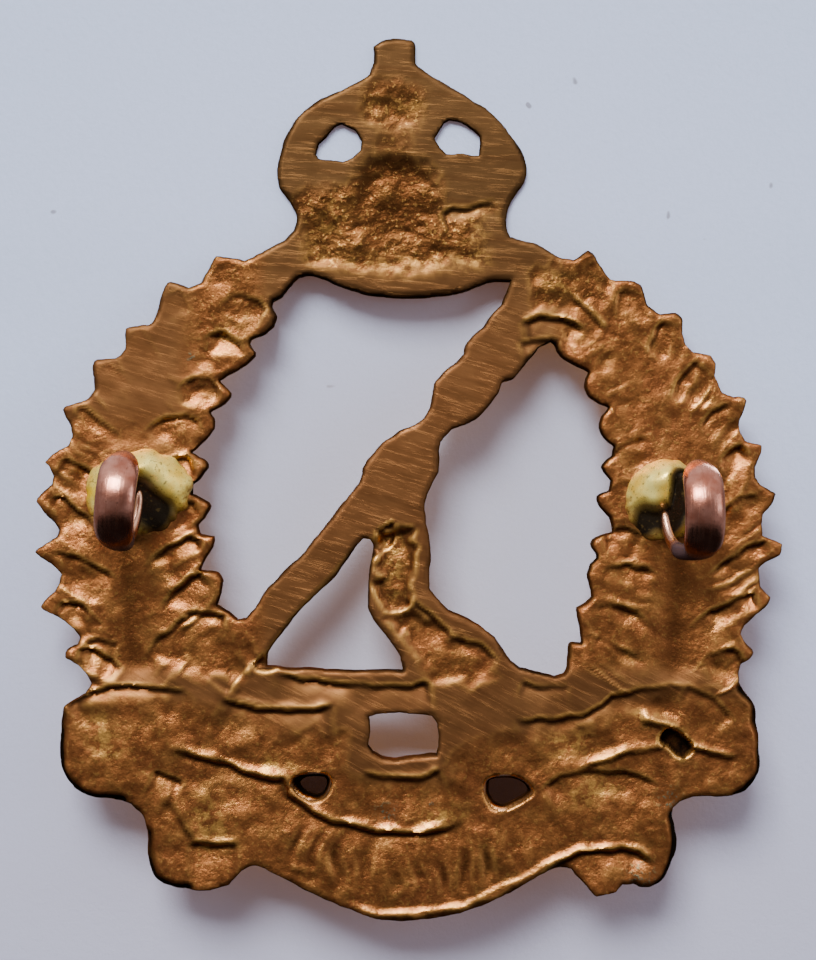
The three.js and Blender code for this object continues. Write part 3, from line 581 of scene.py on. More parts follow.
# ---------------------------------------------------------------- the face
RIBBONS = [
    smooth([
        (-18.6, -12.4), (-16.8, -11.0), (-14.3, -10.5), (-11.8, -11.0), (-9.4, -11.7), (-6.0, -12.0),
        (-3.0, -12.0), (-2.9, -14.3), (-6.0, -14.6), (-9.0, -14.6), (-12.0, -14.5), (-14.5, -15.4),
        (-17.0, -15.6), (-18.4, -14.8),
    ]),
    smooth([
        (18.6, -12.4), (16.8, -10.9), (14.4, -10.4), (12.0, -10.9), (9.6, -11.8), (6.4, -12.1),
        (2.2, -12.0), (2.1, -14.2), (6.4, -14.6), (9.6, -14.6), (12.0, -14.4), (15.0, -15.3),
        (17.6, -15.5), (18.5, -14.6),
    ]),
    smooth([
        (-13.6, -16.6), (-11.8, -15.3), (-8.8, -15.8), (-6.4, -17.0), (-3.2, -18.1), (0.0, -18.5),
        (3.2, -18.1), (6.4, -17.2), (9.0, -15.7), (12.0, -15.3), (13.8, -16.8), (13.6, -20.0),
        (12.0, -20.4), (9.6, -19.9), (7.4, -19.6), (4.2, -21.3), (0.3, -22.3), (-3.8, -21.5),
        (-7.2, -19.6), (-9.6, -19.7), (-12.2, -20.5), (-13.8, -19.6),
    ]),
]
STRUTS = [
    ([(6.8, 11.4), (4.6, 8.6), (3.2, 6.6), (2.3, 5.0)], 1.15),
    ([(2.2, 4.9), (0.4, 2.6), (-0.9, 0.9)], 1.45),
    ([(-1.0, 0.6), (-3.8, -2.2), (-6.4, -5.2), (-8.6, -7.6)], 0.85),
    ([(-0.6, -0.4), (-0.6, -3.6), (-0.4, -6.2), (1.6, -8.2), (3.6, -9.2)], 0.95),
]
CIRCLET = [(-6.2, 13.6), (-3.2, 12.7), (-0.5, 12.4), (2.2, 12.7), (4.8, 13.5)]
ARCHES = [
    [(-5.4, 14.6), (-6.3, 16.6), (-6.6, 18.4), (-5.6, 20.4), (-3.6, 21.9), (-1.0, 23.0)],
    [(-0.6, 14.0), (-0.8, 17.4), (-0.9, 20.2), (-0.9, 22.8)],
    [(4.6, 14.6), (5.3, 16.6), (5.6, 18.4), (4.5, 20.2), (2.4, 21.8), (-0.6, 23.0)],
]


def face(P, edge):
    """How far the face stands in front of the plate."""
    h = 0.05 * (1 + noise(P, 2.2, 51))
    for stem, _ in STEMS:
        h = np.maximum(h, 0.5 * RELIEF * dome(off_line(P, stem), 0.55))
    for base, tip, _, _ in LEAVES:
        s, q, length = leaf_place(P, base, tip)
        half = 1.28 * np.sin(np.pi * np.clip(s * 0.9 + 0.07, 0.001, 0.999)) ** 0.75
        t = q / np.maximum(half, 0.05)
        body = np.clip(1 - np.abs(t) ** 2.2, 0, 1) ** 0.55 * (0.72 + 0.28 * s)
        rib = 0.14 * bell(t, 0.13) * step(1.0, 0.7, s)
        veins = 0.045 * np.sin((s * length - 0.9 * np.abs(q)) * 2 * np.pi / 0.62) * step(1.0, 0.7, np.abs(t))
        on = (s > 0) & (s < 1) & (np.abs(t) < 1)
        h = np.where(on, np.maximum(h, RELIEF * (body - rib + veins)), h)
    for ribbon in RIBBONS:
        d = within(P, ribbon)
        lip = 0.12 * bell(d - 0.35, 0.18)
        proud = step(0, 0.22, d) * (RELIEF - 0.12 + lip + 0.03 * noise(P, 3.1, 53))
        h = np.where(d > 0, np.maximum(h, proud), h)
    for line, wide in STRUTS:
        h = np.maximum(h, RELIEF * dome(off_line(P, line), wide) ** 0.8)
    crown = within(P, OUTER_EDGE) * step(13.2, 13.8, P[:, 1])
    h = np.where(crown > 0, np.maximum(h, 0.3 * step(0, 1.4, crown) + 0.05 * noise(P, 0.8, 54)), h)
    d, _, along = distance(P, smooth(CIRCLET), closed=False)
    band = 0.62 * step(1.05, 0.85, d) + 0.1 * bell(d - 0.85, 0.12)
    jewel = 0.2 * np.clip(np.cos(along * 2 * np.pi * 7), 0, 1) ** 0.6 * step(0.5, 0.3, d)
    h = np.maximum(h, band + jewel)
    for arch in ARCHES:
        d, _, along = distance(P, smooth(arch), closed=False)
        pearls = 0.5 + 0.5 * np.cos(along * 2 * np.pi * 9)
        strip = 0.5 * step(0.62, 0.5, d)
        h = np.maximum(h, strip + 0.3 * pearls**0.6 * dome(d, 0.38))
    boss = np.hypot(P[:, 0] + 0.85, P[:, 1] - 24.0)
    h = np.maximum(h, CROWN_RELIEF * dome(boss, 0.95))
    h = h + 0.012 * noise(P, 0.5, 55)
    h = np.clip(h, 0, CROWN_RELIEF) * step(0.0, 0.3, edge)
    for eye in (CROWN_EYE_LEFT, CROWN_EYE_RIGHT):
        h = h - EYE_SINK * step(-0.9, -0.3, within(P, eye))
    return h


# ---------------------------------------------------------------- the plate's mesh
EDGE_RINGS = ((0.1, 0.8), (0.35, 1.0), (0.65, 1.0), (0.9, 0.8))  # share of the way down, share of the bulge


def to_frame(u, v, w):
    return np.column_stack([-np.asarray(u), np.asarray(w), np.asarray(v)]) * MM


def grid_over(outline):
    low = outline.min(axis=0) - 2 * CELL
    count = np.ceil((outline.max(axis=0) + 2 * CELL - low) / CELL).astype(int) + 1
    u = low[0] + CELL * np.arange(count[0])
    v = low[1] + CELL * np.arange(count[1])
    return u, v


def trace_plate():
    """Points and faces of the flat plate, cut off along the inset outline, and its directed edge pieces."""
    us, vs = grid_over(OUTER_EDGE)
    U, V = np.meshgrid(us, vs)
    P = np.column_stack([U.ravel(), V.ravel()])
    D = plate_distance(P) - INSET
    # No grid point may lie too close to the outline, or slivers would follow.
    least = 0.15
    D = np.where(np.abs(D) < least * CELL, np.where(D > 0, least, -least) * CELL, D).reshape(U.shape)
    solid = D > 0
    grid_points = int(solid.sum())
    ids = -np.ones(D.shape, int)
    ids[solid] = np.arange(grid_points)
    places = [np.column_stack([U[solid], V[solid]])]

    def crossings(a, b, pa, pb):
        """Numbers for the points where the outline crosses the grid's lines from a to b, and -1 elsewhere."""
        cut = (a > 0) != (b > 0)
        t = (a / np.where(cut, a - b, 1))[cut][:, None]
        found = -np.ones(a.shape, int)
        found[cut] = sum(map(len, places)) + np.arange(cut.sum())
        places.append(pa[cut] * (1 - t) + pb[cut] * t)
        return found

    grid = np.dstack([U, V])
    across = crossings(D[:, :-1], D[:, 1:], grid[:, :-1], grid[:, 1:])
    upward = crossings(D[:-1], D[1:], grid[:-1], grid[1:])
    corners_in = [solid[:-1, :-1], solid[:-1, 1:], solid[1:, 1:], solid[1:, :-1]]
    full = np.logical_and.reduce(corners_in)
    some = np.logical_or.reduce(corners_in)
    j, i = np.nonzero(full)
    faces = np.column_stack([ids[j, i], ids[j, i + 1], ids[j + 1, i + 1], ids[j + 1, i]]).tolist()
    rim = []
    for j, i in zip(*np.nonzero(some & ~full)):
        corners = [int(c) for c in (ids[j, i], ids[j, i + 1], ids[j + 1, i + 1], ids[j + 1, i])]
        cuts = [int(c) for c in (across[j, i], upward[j, i + 1], across[j + 1, i], upward[j, i])]
        if min(cuts) >= 0:
            # Only two opposite corners are in the metal, and each gets its own triangle.
            for k in range(4):
                if corners[k] >= 0:
                    faces.append([cuts[k - 1], corners[k], cuts[k]])
                    rim.append((cuts[k], cuts[k - 1]))
            continue
        ring = [point for pair in zip(corners, cuts) for point in pair if point >= 0]
        faces.append(ring)
        rim += [(a, b) for a, b in zip(ring, ring[1:] + ring[:1]) if min(a, b) >= grid_points]
    return np.vstack(places), faces, rim


def bulging_edge(P, rim_ids, back_w, face_w):
    """Rings of points from the back's rim down to the face's, out to the plate's true outline."""
    q = P[rim_ids]
    nudge = 0.05
    slope = np.column_stack([
        plate_distance(q + (nudge, 0)) - plate_distance(q - (nudge, 0)),
        plate_distance(q + (0, nudge)) - plate_distance(q - (0, nudge)),
    ])
    outward = -slope / np.maximum(np.hypot(*slope.T), 1e-6)[:, None]
    rings = []
    for level, (down, out) in enumerate(EDGE_RINGS):
        shift = INSET * out + 0.03 * noise(q + 7.3 * level, 0.7, 61 + level)
        places = q + outward * shift[:, None]
        heights = back_w[rim_ids] * (1 - down) + face_w[rim_ids] * down
        rings.append(to_frame(places[:, 0], places[:, 1], heights))
    return rings


GREEN_SPOTS = [
    ((-1.3, -17.0), 0.5), ((14.2, -16.3), 0.55), ((12.6, -20.4), 0.6), ((-11.9, 7.8), 0.2),
    ((1.2, -16.6), 0.2),
]
# Gold along lines: partly where handling has rubbed the brass's toning back to gold, partly painted
# reflection on crests. For each: a line, how far round it, and how strongly.
WEAR_AND_SHEEN_LINES = [
    ([(-16.9, -12.4), (-16.5, -13.6)], 0.8, 1.0), ([(12.5, -11.8), (13.5, -12.1), (14.6, -12.6)], 0.4, 1.0),
    ([(-11.2, -16.8), (-10.6, -18.2)], 0.9, 1.0), ([(-3.6, 12.9), (0.0, 12.8), (3.9, 13.1)], 0.5, 0.35),
    ([(-0.9, -2.4), (-0.9, -5.0)], 0.5, 0.8), ([(1.0, -17.4), (2.6, -17.1)], 0.5, 1.0),
    ([(-5.2, 13.4), (-4.0, 15.6)], 0.7, 0.35), ([(7.6, 11.9), (8.4, 11.6)], 0.5, 0.6),
    ([(-10.2, 9.2), (-9.4, 9.0)], 0.4, 1.0), ([(3.4, 13.4), (3.6, 14.8)], 0.6, 0.4),
    ([(-7.6, -14.4), (-6.6, -14.8)], 0.5, 1.0), ([(9.4, -16.0), (10.6, -15.6)], 0.8, 0.9),
    ([(8.0, -13.4), (9.4, -13.2)], 0.7, 0.8), ([(-2.0, 21.6), (0.4, 21.4)], 0.5, 0.2),
]


def stem_grooves(P):
    """1 along the grooves behind the wreath's stems, where shade is painted."""
    groove = np.zeros(len(P))
    for stem, top in STEMS:
        d = off_line(P + 0.3 * noise(P, 1.6, 67)[:, None], stem)
        groove = np.maximum(groove, bell(d, 0.55) * step(top, top - 3.0, P[:, 1]))
    return groove * step(-10.6, -9.6, P[:, 1])


def dark_edge_and_shade(P, edge):
    """How dark the back's edge is, partly tarnish and partly painted shade on its bevel, and the painted
    shade inside its small holes and blow hole.
    """
    rim = (1 - step(INSET, 0.2, edge + 0.09 * noise(P, 0.8, 63))) * (1 - 0.7 * beside_eyes(P))
    rim = rim * (0.5 + 0.5 * step(-0.3, 0.3, noise(P, 2.3, 65)))
    rim = np.maximum(0.85 * rim, 1.7 * worn_ends(P, edge))
    for hole in SMALL_HOLES:
        rim = np.maximum(rim, 1.2 * step(-0.05, 0.12, within(P, hole)))
    return np.maximum(rim, 1.4 * step(0.54, 0.42, off_slot(P)))


def plate_looks(P, edge, rough, proud):
    """What the brass reads: for each name, values over the back, over the face, and one for the edge."""
    # Curvature of the back, for painted shade in its corners and painted highlights on its ridges.
    ground = back_ground(P)[0]
    reach = 0.25
    sides = ((reach, 0), (-reach, 0), (0, reach), (0, -reach))
    bend = sum(back_ground(P + np.array(side))[0] for side in sides) / 4 - ground
    holes = np.maximum(*(within(P, hole) for hole in SMALL_HOLES))
    bend = bend * (1 - 0.85 * step(-0.6, -0.3, holes))
    calm = 1 - 0.4 * grit_at(P)
    # Painted shade in the crown's middle hollow, along the stem grooves, under the lower ribbon's ridge and
    # deeper in the back's recesses.
    dark = 0.4 * crown_middle(P) + 0.5 * stem_grooves(P) + 0.3 * lower_band(P) - 0.35 * ground
    green = sum(bell(np.hypot(P[:, 0] - u, P[:, 1] - v), r) for (u, v), r in GREEN_SPOTS)
    wear_and_sheen = sum(k * bell(off_line(P, line), r) for line, r, k in WEAR_AND_SHEEN_LINES)
    zero = np.zeros(len(P))
    return {
        "cast": (rough, zero + 0.35, 0.6),
        # ridge: painted highlights on the back's ridges and the face's proud parts. hollow: painted shade in
        # the back's corners and recesses, on the face's low ground and on the edge.
        "ridge": (np.clip(-bend * 14 * calm, 0, 1), np.clip((proud - 0.3) * 2, 0, 1), 0.0),
        "hollow": (np.clip(bend * 12 * calm + dark, 0, 1), np.clip(1 - proud * 3.2, 0, 1), 0.5),
        "grit": (grit_at(P), zero, 0.0),
        # rim: dark edges, partly tarnish and partly painted shade, with painted shade inside the small holes
        # and blow hole and on the edge's walls.
        "rim": (dark_edge_and_shade(P, edge), 0.6 * (1 - step(INSET, 0.4, edge)), 1.0),
        "verdigris": (np.clip(green, 0, 1), zero, 0.0),
        "wear_and_sheen": (np.clip(wear_and_sheen, 0, 1), zero + 0.25, 0.1),
    }


def stroke_places(P, points):
    """Places along and across the file strokes, for the back's points, then the face's, then the edge's."""
    # Level on the crown, falling to the right on the wreath and device, steeper on the ribbons.
    wavy = P[:, 1] + 0.6 * noise(P, 2.0, 64)
    tilt = np.radians(np.where(wavy > 11.6, -4, np.where(wavy > -8.8, -17, -27)))
    n = len(P)
    strokes = np.zeros((points, 3))
    strokes[:n, 0] = P[:, 0] * np.cos(tilt) + P[:, 1] * np.sin(tilt)
    strokes[:n, 1] = -P[:, 0] * np.sin(tilt) + P[:, 1] * np.cos(tilt)
    strokes[n:2 * n, 0] = P[:, 0]
    strokes[n:2 * n, 1] = P[:, 1] * 0.2
    return strokes


def build_plate():
    P, faces, rim = trace_plate()
    n = len(P)
    edge = plate_distance(P)
    back_w, rough = back(P, edge)
    face_w = -PLATE - face(P, edge)
    rim_ids = sorted({a for pair in rim for a in pair})
    rings = bulging_edge(P, rim_ids, back_w, face_w)
    verts = np.vstack([to_frame(P[:, 0], P[:, 1], back_w), to_frame(P[:, 0], P[:, 1], face_w)] + rings)
    polygons = faces + [[v + n for v in reversed(f)] for f in faces]
    first_ring = {vertex: 2 * n + k for k, vertex in enumerate(rim_ids)}

    def column(vertex):
        """The points down the plate's edge under one of the back's rim points."""
        down = [first_ring[vertex] + level * len(rim_ids) for level in range(len(EDGE_RINGS))]
        return [vertex] + down + [vertex + n]

    for a, b in rim:
        under_a, under_b = column(a), column(b)
        for k in range(len(EDGE_RINGS) + 1):
            polygons.append([under_a[k], under_a[k + 1], under_b[k + 1], under_b[k]])
    mesh = new_mesh("plate", verts, polygons)
    for name, (on_back, on_face, on_edge) in plate_looks(P, edge, rough, -PLATE - face_w).items():
        store(mesh, name, np.concatenate([on_back, on_face, np.full(len(verts) - 2 * n, on_edge)]))
    store(mesh, "stroke", stroke_places(P, len(verts)))
    return finish_mesh("badge_plate_fine", mesh, 62)


def new_mesh(name, verts, polygons):
    mesh = bpy.data.meshes.new(name)
    mesh.from_pydata(verts.tolist(), [], polygons)
    return mesh


def store(mesh, name, values):
    """Keeps a number, or a vector, for each point of the mesh, for its material to read."""
    kind, field = ("FLOAT", "value") if values.ndim == 1 else ("FLOAT_VECTOR", "vector")
    layer = mesh.attributes.new(name, kind, "POINT")
    layer.data.foreach_set(field, values.astype(np.float32).ravel())


def finish_mesh(name, mesh, sharp_degrees):
    mesh.validate()
    mesh.update()
    for polygon in mesh.polygons:
        polygon.use_smooth = True
    mesh.set_sharp_from_angle(angle=math.radians(sharp_degrees))
    return place_in_scene(name, mesh)


def place_in_scene(name, data):
    thing = bpy.data.objects.new(name, data)
    bpy.context.scene.collection.objects.link(thing)
    return thing


# ---------------------------------------------------------------- lugs and braze
LUG_RADIUS = 2.6  # outside
WIRE = 0.8  # thickness
WIDTH = 2.1  # across the flattened crown of the wire
WIRE_MIDDLE = LUG_RADIUS - WIRE / 2
BRAZE_RISE = 1.15
BRAZE_FOOT = -0.22  # how deep the braze runs into the plate
# Angles in degrees. Turns: how far round the wire goes. Splay: how far its lower leg stands aside.
# The last entry of each: lines on the braze along which the lug's shadow is painted, and how far it reaches.
LUGS = {
    "left": {
        "at": (-15.35, 0.0, 0.12), "lean": 0, "yaw": -5, "splay": 0.7, "turns": 1.05, "seed": 71,
        "braze": (-14.85, 0.45), "radii": (2.95, 2.35), "peak": (-14.6, 1.6),
        "painted_shadow": [([(-14.7, 0.2), (-13.8, -0.7)], 1.25)],
    },
    "right": {
        "at": (15.25, -0.5, 0.12), "lean": 1, "yaw": 1, "splay": -1.5, "turns": 1.0, "seed": 81,
        "braze": (13.95, 0.0), "radii": (2.35, 2.2), "peak": (14.2, 1.25),
        "painted_shadow": [([(14.7, 1.2), (14.5, -0.8)], 0.7), ([(14.2, -1.0), (12.9, -1.1)], 1.0)],
    },
}
YELLOW_FLECK = (-17.4, 0.4)


def skin(rows, around, outward):
    """Four-sided faces between neighbouring closed rows of points."""
    faces = []
    for k in range(rows - 1):
        for m in range(around):
            a = k * around + m
            b = k * around + (m + 1) % around
            faces.append([a, b, b + around, a + around] if outward else [a, a + around, b + around, b])
    return faces


def stand_up(P, place):
    """Points of an upright lug, its foot at the origin, turned and leaned to where it stands."""
    lean, yaw = math.radians(place["lean"]), math.radians(place["yaw"])
    u = P[:, 0] * math.cos(lean) + P[:, 2] * math.sin(lean)
    w = -P[:, 0] * math.sin(lean) + P[:, 2] * math.cos(lean)
    v = P[:, 1]
    return to_frame(
        place["at"][0] + u * math.cos(yaw) - v * math.sin(yaw),
        place["at"][1] + u * math.sin(yaw) + v * math.cos(yaw),
        w + place["at"][2],
    )


def build_lug(side, place):
    """A wire ring on edge, flattened at its crown, its two ends drawn in at the foot."""
    turns, ring = 110, 32
    phi = np.linspace(0.085, place["turns"], turns) * 2 * math.pi
    theta = np.arange(ring) * 2 * math.pi / ring
    c, s = np.cos(theta), np.sin(theta)
    rows = []
    for k, a in enumerate(phi):
        end = min(k, turns - 1 - k) / 6
        shrink = math.sqrt(max(1 - (1 - min(end, 1)) ** 2, 0.02))
        foot = 0.5 + 0.5 * math.cos(a)
        across = c * (WIDTH / 2 * (1 - 0.76 * step(0.1, 0.8, foot)) * shrink)
        # Gently crowned outside, flatter inside the eye.
        radial = np.where(s > 0, 1.2 * s, -np.abs(s) ** 0.7) * (WIRE / 2 * shrink)
        q = np.column_stack([across * 1.3, np.full(ring, a * WIRE_MIDDLE)])
        radial = radial + 0.012 * noise(q, 1.4, place["seed"]) + 0.005 * noise(q, 0.45, place["seed"] + 1)
        if a > math.pi:
            aside = 0.6 * step(0.36, 0.62, foot) + 0.4 * max(foot - 0.55, 0) / 0.45
            across = across + place["splay"] * aside
        r = WIRE_MIDDLE + radial
        rows.append(np.column_stack([across, r * math.sin(a), LUG_RADIUS - r * math.cos(a)]))
    ends = [list(range(ring))[::-1], [(turns - 1) * ring + m for m in range(ring)]]
    mesh = new_mesh("lug", stand_up(np.vstack(rows), place), skin(turns, ring, True) + ends)
    store(mesh, "turn", np.column_stack([
        np.repeat(phi * WIRE_MIDDLE, ring), np.tile(c, turns), np.zeros(turns * ring),
    ]))
    return finish_mesh(f"lug_{side}_fine", mesh, 70)


def braze_shadow(P, place):
    """1 where the lug's shadow is painted black on the braze."""
    shadow_mask = np.zeros(len(P))
    for line, reach in place["painted_shadow"]:
        d = off_line(P, line) + 0.25 * noise(P, 0.8, place["seed"] + 24)
        shadow_mask = np.maximum(shadow_mask, step(1.35 * reach, 0.35 * reach, d))
    return shadow_mask


def build_braze(side, place):
    """A mound drawn up round the lug's upper leg, running out thin below and hollowed where the lug's shadow
    is painted on it.
    """
    seed = place["seed"] + 20
    rays, rings = 96, 30
    (cu, cv), (ru, rv) = place["braze"], place["radii"]
    pu, pv = place["peak"]
    theta = np.arange(rays) * 2 * math.pi / rays
    around = np.column_stack([np.cos(theta), np.sin(theta)])
    ragged = 1 + 0.07 * noise(around * 2.2, 1.0, seed) + 0.06 * noise(around * 6, 1.0, seed + 1)
    even_u, even_v = cu + ru * around[:, 0], cv + rv * around[:, 1]
    rim_u, rim_v = cu + ru * ragged * around[:, 0], cv + rv * ragged * around[:, 1]
    rows = []
    for k in range(rings):
        r = (k + 1) / rings
        out = r**5
        u = pu + r * (even_u * (1 - out) + rim_u * out - pu)
        v = pv + r * (even_v * (1 - out) + rim_v * out - pv)
        P = np.column_stack([u, v])
        rise = BRAZE_RISE * (1 - r**1.9) ** 0.95 + 0.12 * (1 - r**8)
        w = rise * (1 + 0.1 * noise(P, 1.5, seed + 2)) + 0.06 * noise(P, 0.6, seed + 3) * (1 - r**8)
        w = w * (1 - 0.6 * braze_shadow(P, place))
        rows.append(np.column_stack([u, v, w - 0.1 * r**10]))
    foot = np.column_stack([rows[-1][:, :2], np.full(rays, BRAZE_FOOT)])
    top = [[pu, pv, rows[0][:, 2].mean()]]
    P = np.vstack(rows + [foot, top, [[pu, pv, BRAZE_FOOT]]])
    faces = skin(rings + 1, rays, False)
    middle = (rings + 1) * rays
    for m in range(rays):
        n = (m + 1) % rays
        faces.append([middle, m, n])
        faces.append([middle + 1, rings * rays + n, rings * rays + m])
    mesh = new_mesh("braze", to_frame(P[:, 0], P[:, 1], P[:, 2]), faces)
    up = (P[:, 1] - cv) / rv
    r = np.hypot((P[:, 0] - cu) / ru, up)
    store(mesh, "thin", np.clip(r, 0, 1.2) * (0.6 + 0.4 * step(0.7, -0.1, up)))
    store(mesh, "painted_shadow", braze_shadow(P[:, :2], place))
    store(mesh, "fleck", bell(np.hypot(P[:, 0] - YELLOW_FLECK[0], P[:, 1] - YELLOW_FLECK[1]), 0.42))
    return finish_mesh(f"braze_{side}_fine", mesh, 60)


# ---------------------------------------------------------------- materials
class Nodes:
    """A short hand for the nodes of one material, or of the world."""

    def __init__(self, owner):
        owner.use_nodes = True
        self.owner = owner
        self.tree = owner.node_tree
        self.shader = self.tree.nodes.get("Principled BSDF")
        self.colour = None

    def add(self, kind, **values):
        node = self.tree.nodes.new("ShaderNode" + kind)
        for key, value in values.items():
            if key in node.inputs:
                self.put(value, node.inputs[key])
            else:
                setattr(node, key, value)
        return node

    def put(self, value, socket):
        if isinstance(value, bpy.types.NodeSocket):
            self.tree.links.new(value, socket)
        else:
            socket.default_value = value

    def set(self, name, value):
        """Sets one of the material's own values."""
        self.put(value, self.shader.inputs[name])

    def read(self, name, output="Fac"):
        return self.add("Attribute", attribute_name=name).outputs[output]

    def place(self):
        """Object coordinates in millimetres."""
        return self.scaled(self.add("TexCoord").outputs["Object"], [1 / MM] * 3)

    def scaled(self, vector, scale):
        return self.add("Mapping", Vector=vector, Scale=scale).outputs["Vector"]

    def axes(self, vector):
        return self.add("SeparateXYZ", Vector=vector).outputs

    def away_from(self, vector, point):
        node = self.add("VectorMath", operation="DISTANCE")
        self.put(vector, node.inputs[0])
        self.put(point, node.inputs[1])
        return node.outputs["Value"]

    def noise(self, vector, scale=1.0, detail=4.0, roughness=0.55, distortion=0.0):
        node = self.add("TexNoise", Vector=vector, Scale=scale, Detail=detail, Roughness=roughness)
        node.inputs["Distortion"].default_value = distortion
        return node.outputs["Fac"]

    def remap(self, value, low, high, out_low=0.0, out_high=1.0, curve="LINEAR"):
        node = self.add("MapRange", interpolation_type=curve)
        self.put(value, node.inputs["Value"])
        for key, number in (("From Min", low), ("From Max", high), ("To Min", out_low), ("To Max", out_high)):
            node.inputs[key].default_value = number
        return node.outputs["Result"]

    def math(self, operation, a, b):
        node = self.add("Math", operation=operation)
        self.put(a, node.inputs[0])
        self.put(b, node.inputs[1])
        return node.outputs["Value"]

    def times(self, a, b):
        return self.math("MULTIPLY", a, b)

    def plus(self, a, b):
        return self.math("ADD", a, b)

    def mix(self, factor, a, b, kind="RGBA"):
        node = self.add("Mix", data_type=kind)
        ends = {"RGBA": (6, 7, 2), "FLOAT": (2, 3, 0)}[kind]  # the sockets for a, b and the result
        self.put(factor, node.inputs[0])
        self.put(a, node.inputs[ends[0]])
        self.put(b, node.inputs[ends[1]])
        return node.outputs[ends[2]]

    def paint(self, factor, *colour):
        """Lays one more colour over what has been painted so far."""
        self.colour = self.mix(factor, self.colour, rgb(*colour))

    def bump(self, height, strength, distance_mm, under=None):
        node = self.add("Bump", Height=height, Strength=strength, Distance=distance_mm * MM)
        if under is not None:
            self.put(under, node.inputs["Normal"])
        return node.outputs["Normal"]


def rgb(red, green, blue):
    """An sRGB colour, 0 to 255, as linear RGBA."""
    def linear(x):
        x /= 255
        return x / 12.92 if x <= 0.04045 else ((x + 0.055) / 1.055) ** 2.4
    return (linear(red), linear(green), linear(blue), 1.0)


WHITE = (255, 255, 255)


def brass_material():
    m = Nodes(bpy.data.materials.new("toned_brass"))
    place = m.place()
    stroke = m.read("stroke", "Vector")
    rough = m.read("cast")  # 1 where the back is as it was cast, 0 where it has been filed
    grit = m.read("grit")
    rim = m.read("rim")
    blotch = m.noise(place, 0.4, 4)
    mottle = m.noise(place, 1.5, 5, 0.6)
    grain = m.noise(place, 5.0, 4)
    strokes = m.noise(m.scaled(stroke, (0.35, 4.2, 1.0)), 1.0, 5, 0.75, 0.15)
    broad = m.noise(m.scaled(stroke, (0.12, 1.5, 1.0)), 1.0, 3)
    at = m.axes(place)
    painted_shade = m.remap(at["Z"], 7, 15)  # painted shade: darker towards the crown, where the window lamp falls brighter
    # The strokes are fainter on the left of the wreath.
    scratch = m.times(m.remap(strokes, 0.54, 0.7), m.remap(at["X"], 7.0, 9.5, 0.3, 0.15))

    # The filed level.
    m.colour = m.mix(m.remap(blotch, 0.35, 0.65), rgb(130, 89, 55), rgb(116, 77, 47))
    # Painted shade, darker towards the crown.
    m.paint(m.times(painted_shade, 0.95), 87, 63, 38)
    m.paint(scratch, 170, 122, 72)
    m.paint(m.remap(broad, 0.48, 0.68, 0, 0.45), 80, 52, 30)
    land = m.colour
    # The cast ground.
    m.colour = m.mix(m.remap(mottle, 0.34, 0.64), rgb(155, 96, 55), rgb(171, 110, 63))
    m.paint(m.remap(blotch, 0.5, 0.66, 0, 0.35), 153, 90, 57)
    m.paint(m.remap(m.noise(place, 0.62, 3), 0.52, 0.64, 0, 0.4), 186, 134, 74)
    # Painted shade, darker towards the crown.
    m.paint(m.times(painted_shade, 0.85), 92, 58, 31)
    m.paint(m.remap(grain, 0.3, 0.42, 0.3, 0.0), 84, 46, 26)
    m.paint(m.times(grit, 0.35), 92, 58, 31)
    # Painted glints: small bright gold specks in the gritty casting.
    m.paint(m.times(m.remap(grain, 0.58, 0.66), m.remap(grit, 0, 1, 0.35, 0.5)), 224, 172, 92)
    # Both: painted shade in corners and recesses, painted highlights on ridges, gold partly from wear and
    # partly painted reflection, edges dark partly from tarnish and partly painted shade, verdigris.
    m.colour = m.mix(rough, land, m.colour)
    # Painted shade in corners and recesses.
    m.paint(m.times(m.read("hollow"), m.remap(mottle, 0.3, 0.6, 0.4, 0.9)), 58, 32, 16)
    # Painted highlights on ridges and crests.
    m.paint(m.times(m.read("ridge"), m.remap(mottle, 0.35, 0.55, 0.4, 0.9)), 224, 170, 92)
    # Gold along lines: partly wear that shows the gold, partly painted reflection on crests.
    m.paint(m.times(m.read("wear_and_sheen"), m.remap(m.noise(place, 1.7, 5, 0.7), 0.45, 0.58, 0, 0.85)), 230, 176, 94)
    # Dark edges: partly tarnish, partly painted shade; painted shade inside the small holes and blow hole.
    m.paint(m.times(rim, m.remap(blotch, 0.35, 0.6, 0.95, 0.55)), 26, 19, 13)
    m.paint(m.times(m.read("verdigris"), m.remap(grain, 0.52, 0.66)), 92, 132, 114)
    m.set("Base Color", m.colour)
    m.set("Metallic", 1.0)
    m.set("Specular Tint", m.mix(rim, rgb(*WHITE), rgb(70, 56, 44)))
    dull = m.mix(rough, m.remap(strokes, 0.3, 0.7, 0.4, 0.52), m.remap(mottle, 0.3, 0.7, 0.27, 0.43), "FLOAT")
    m.set("Roughness", m.plus(dull, m.times(rim, 0.3)))
    file_marks = m.times(m.plus(m.times(scratch, 2.8), broad), m.math("SUBTRACT", 1.0, rough))
    casting = m.plus(m.times(mottle, 0.8), m.times(grain, 0.5))
    casting = m.times(casting, m.times(rough, m.remap(grit, 0, 1, 0.6, 0.75)))
    m.set("Normal", m.bump(casting, 0.7, 0.12, m.bump(file_marks, 0.6, 0.016)))
    return m.owner


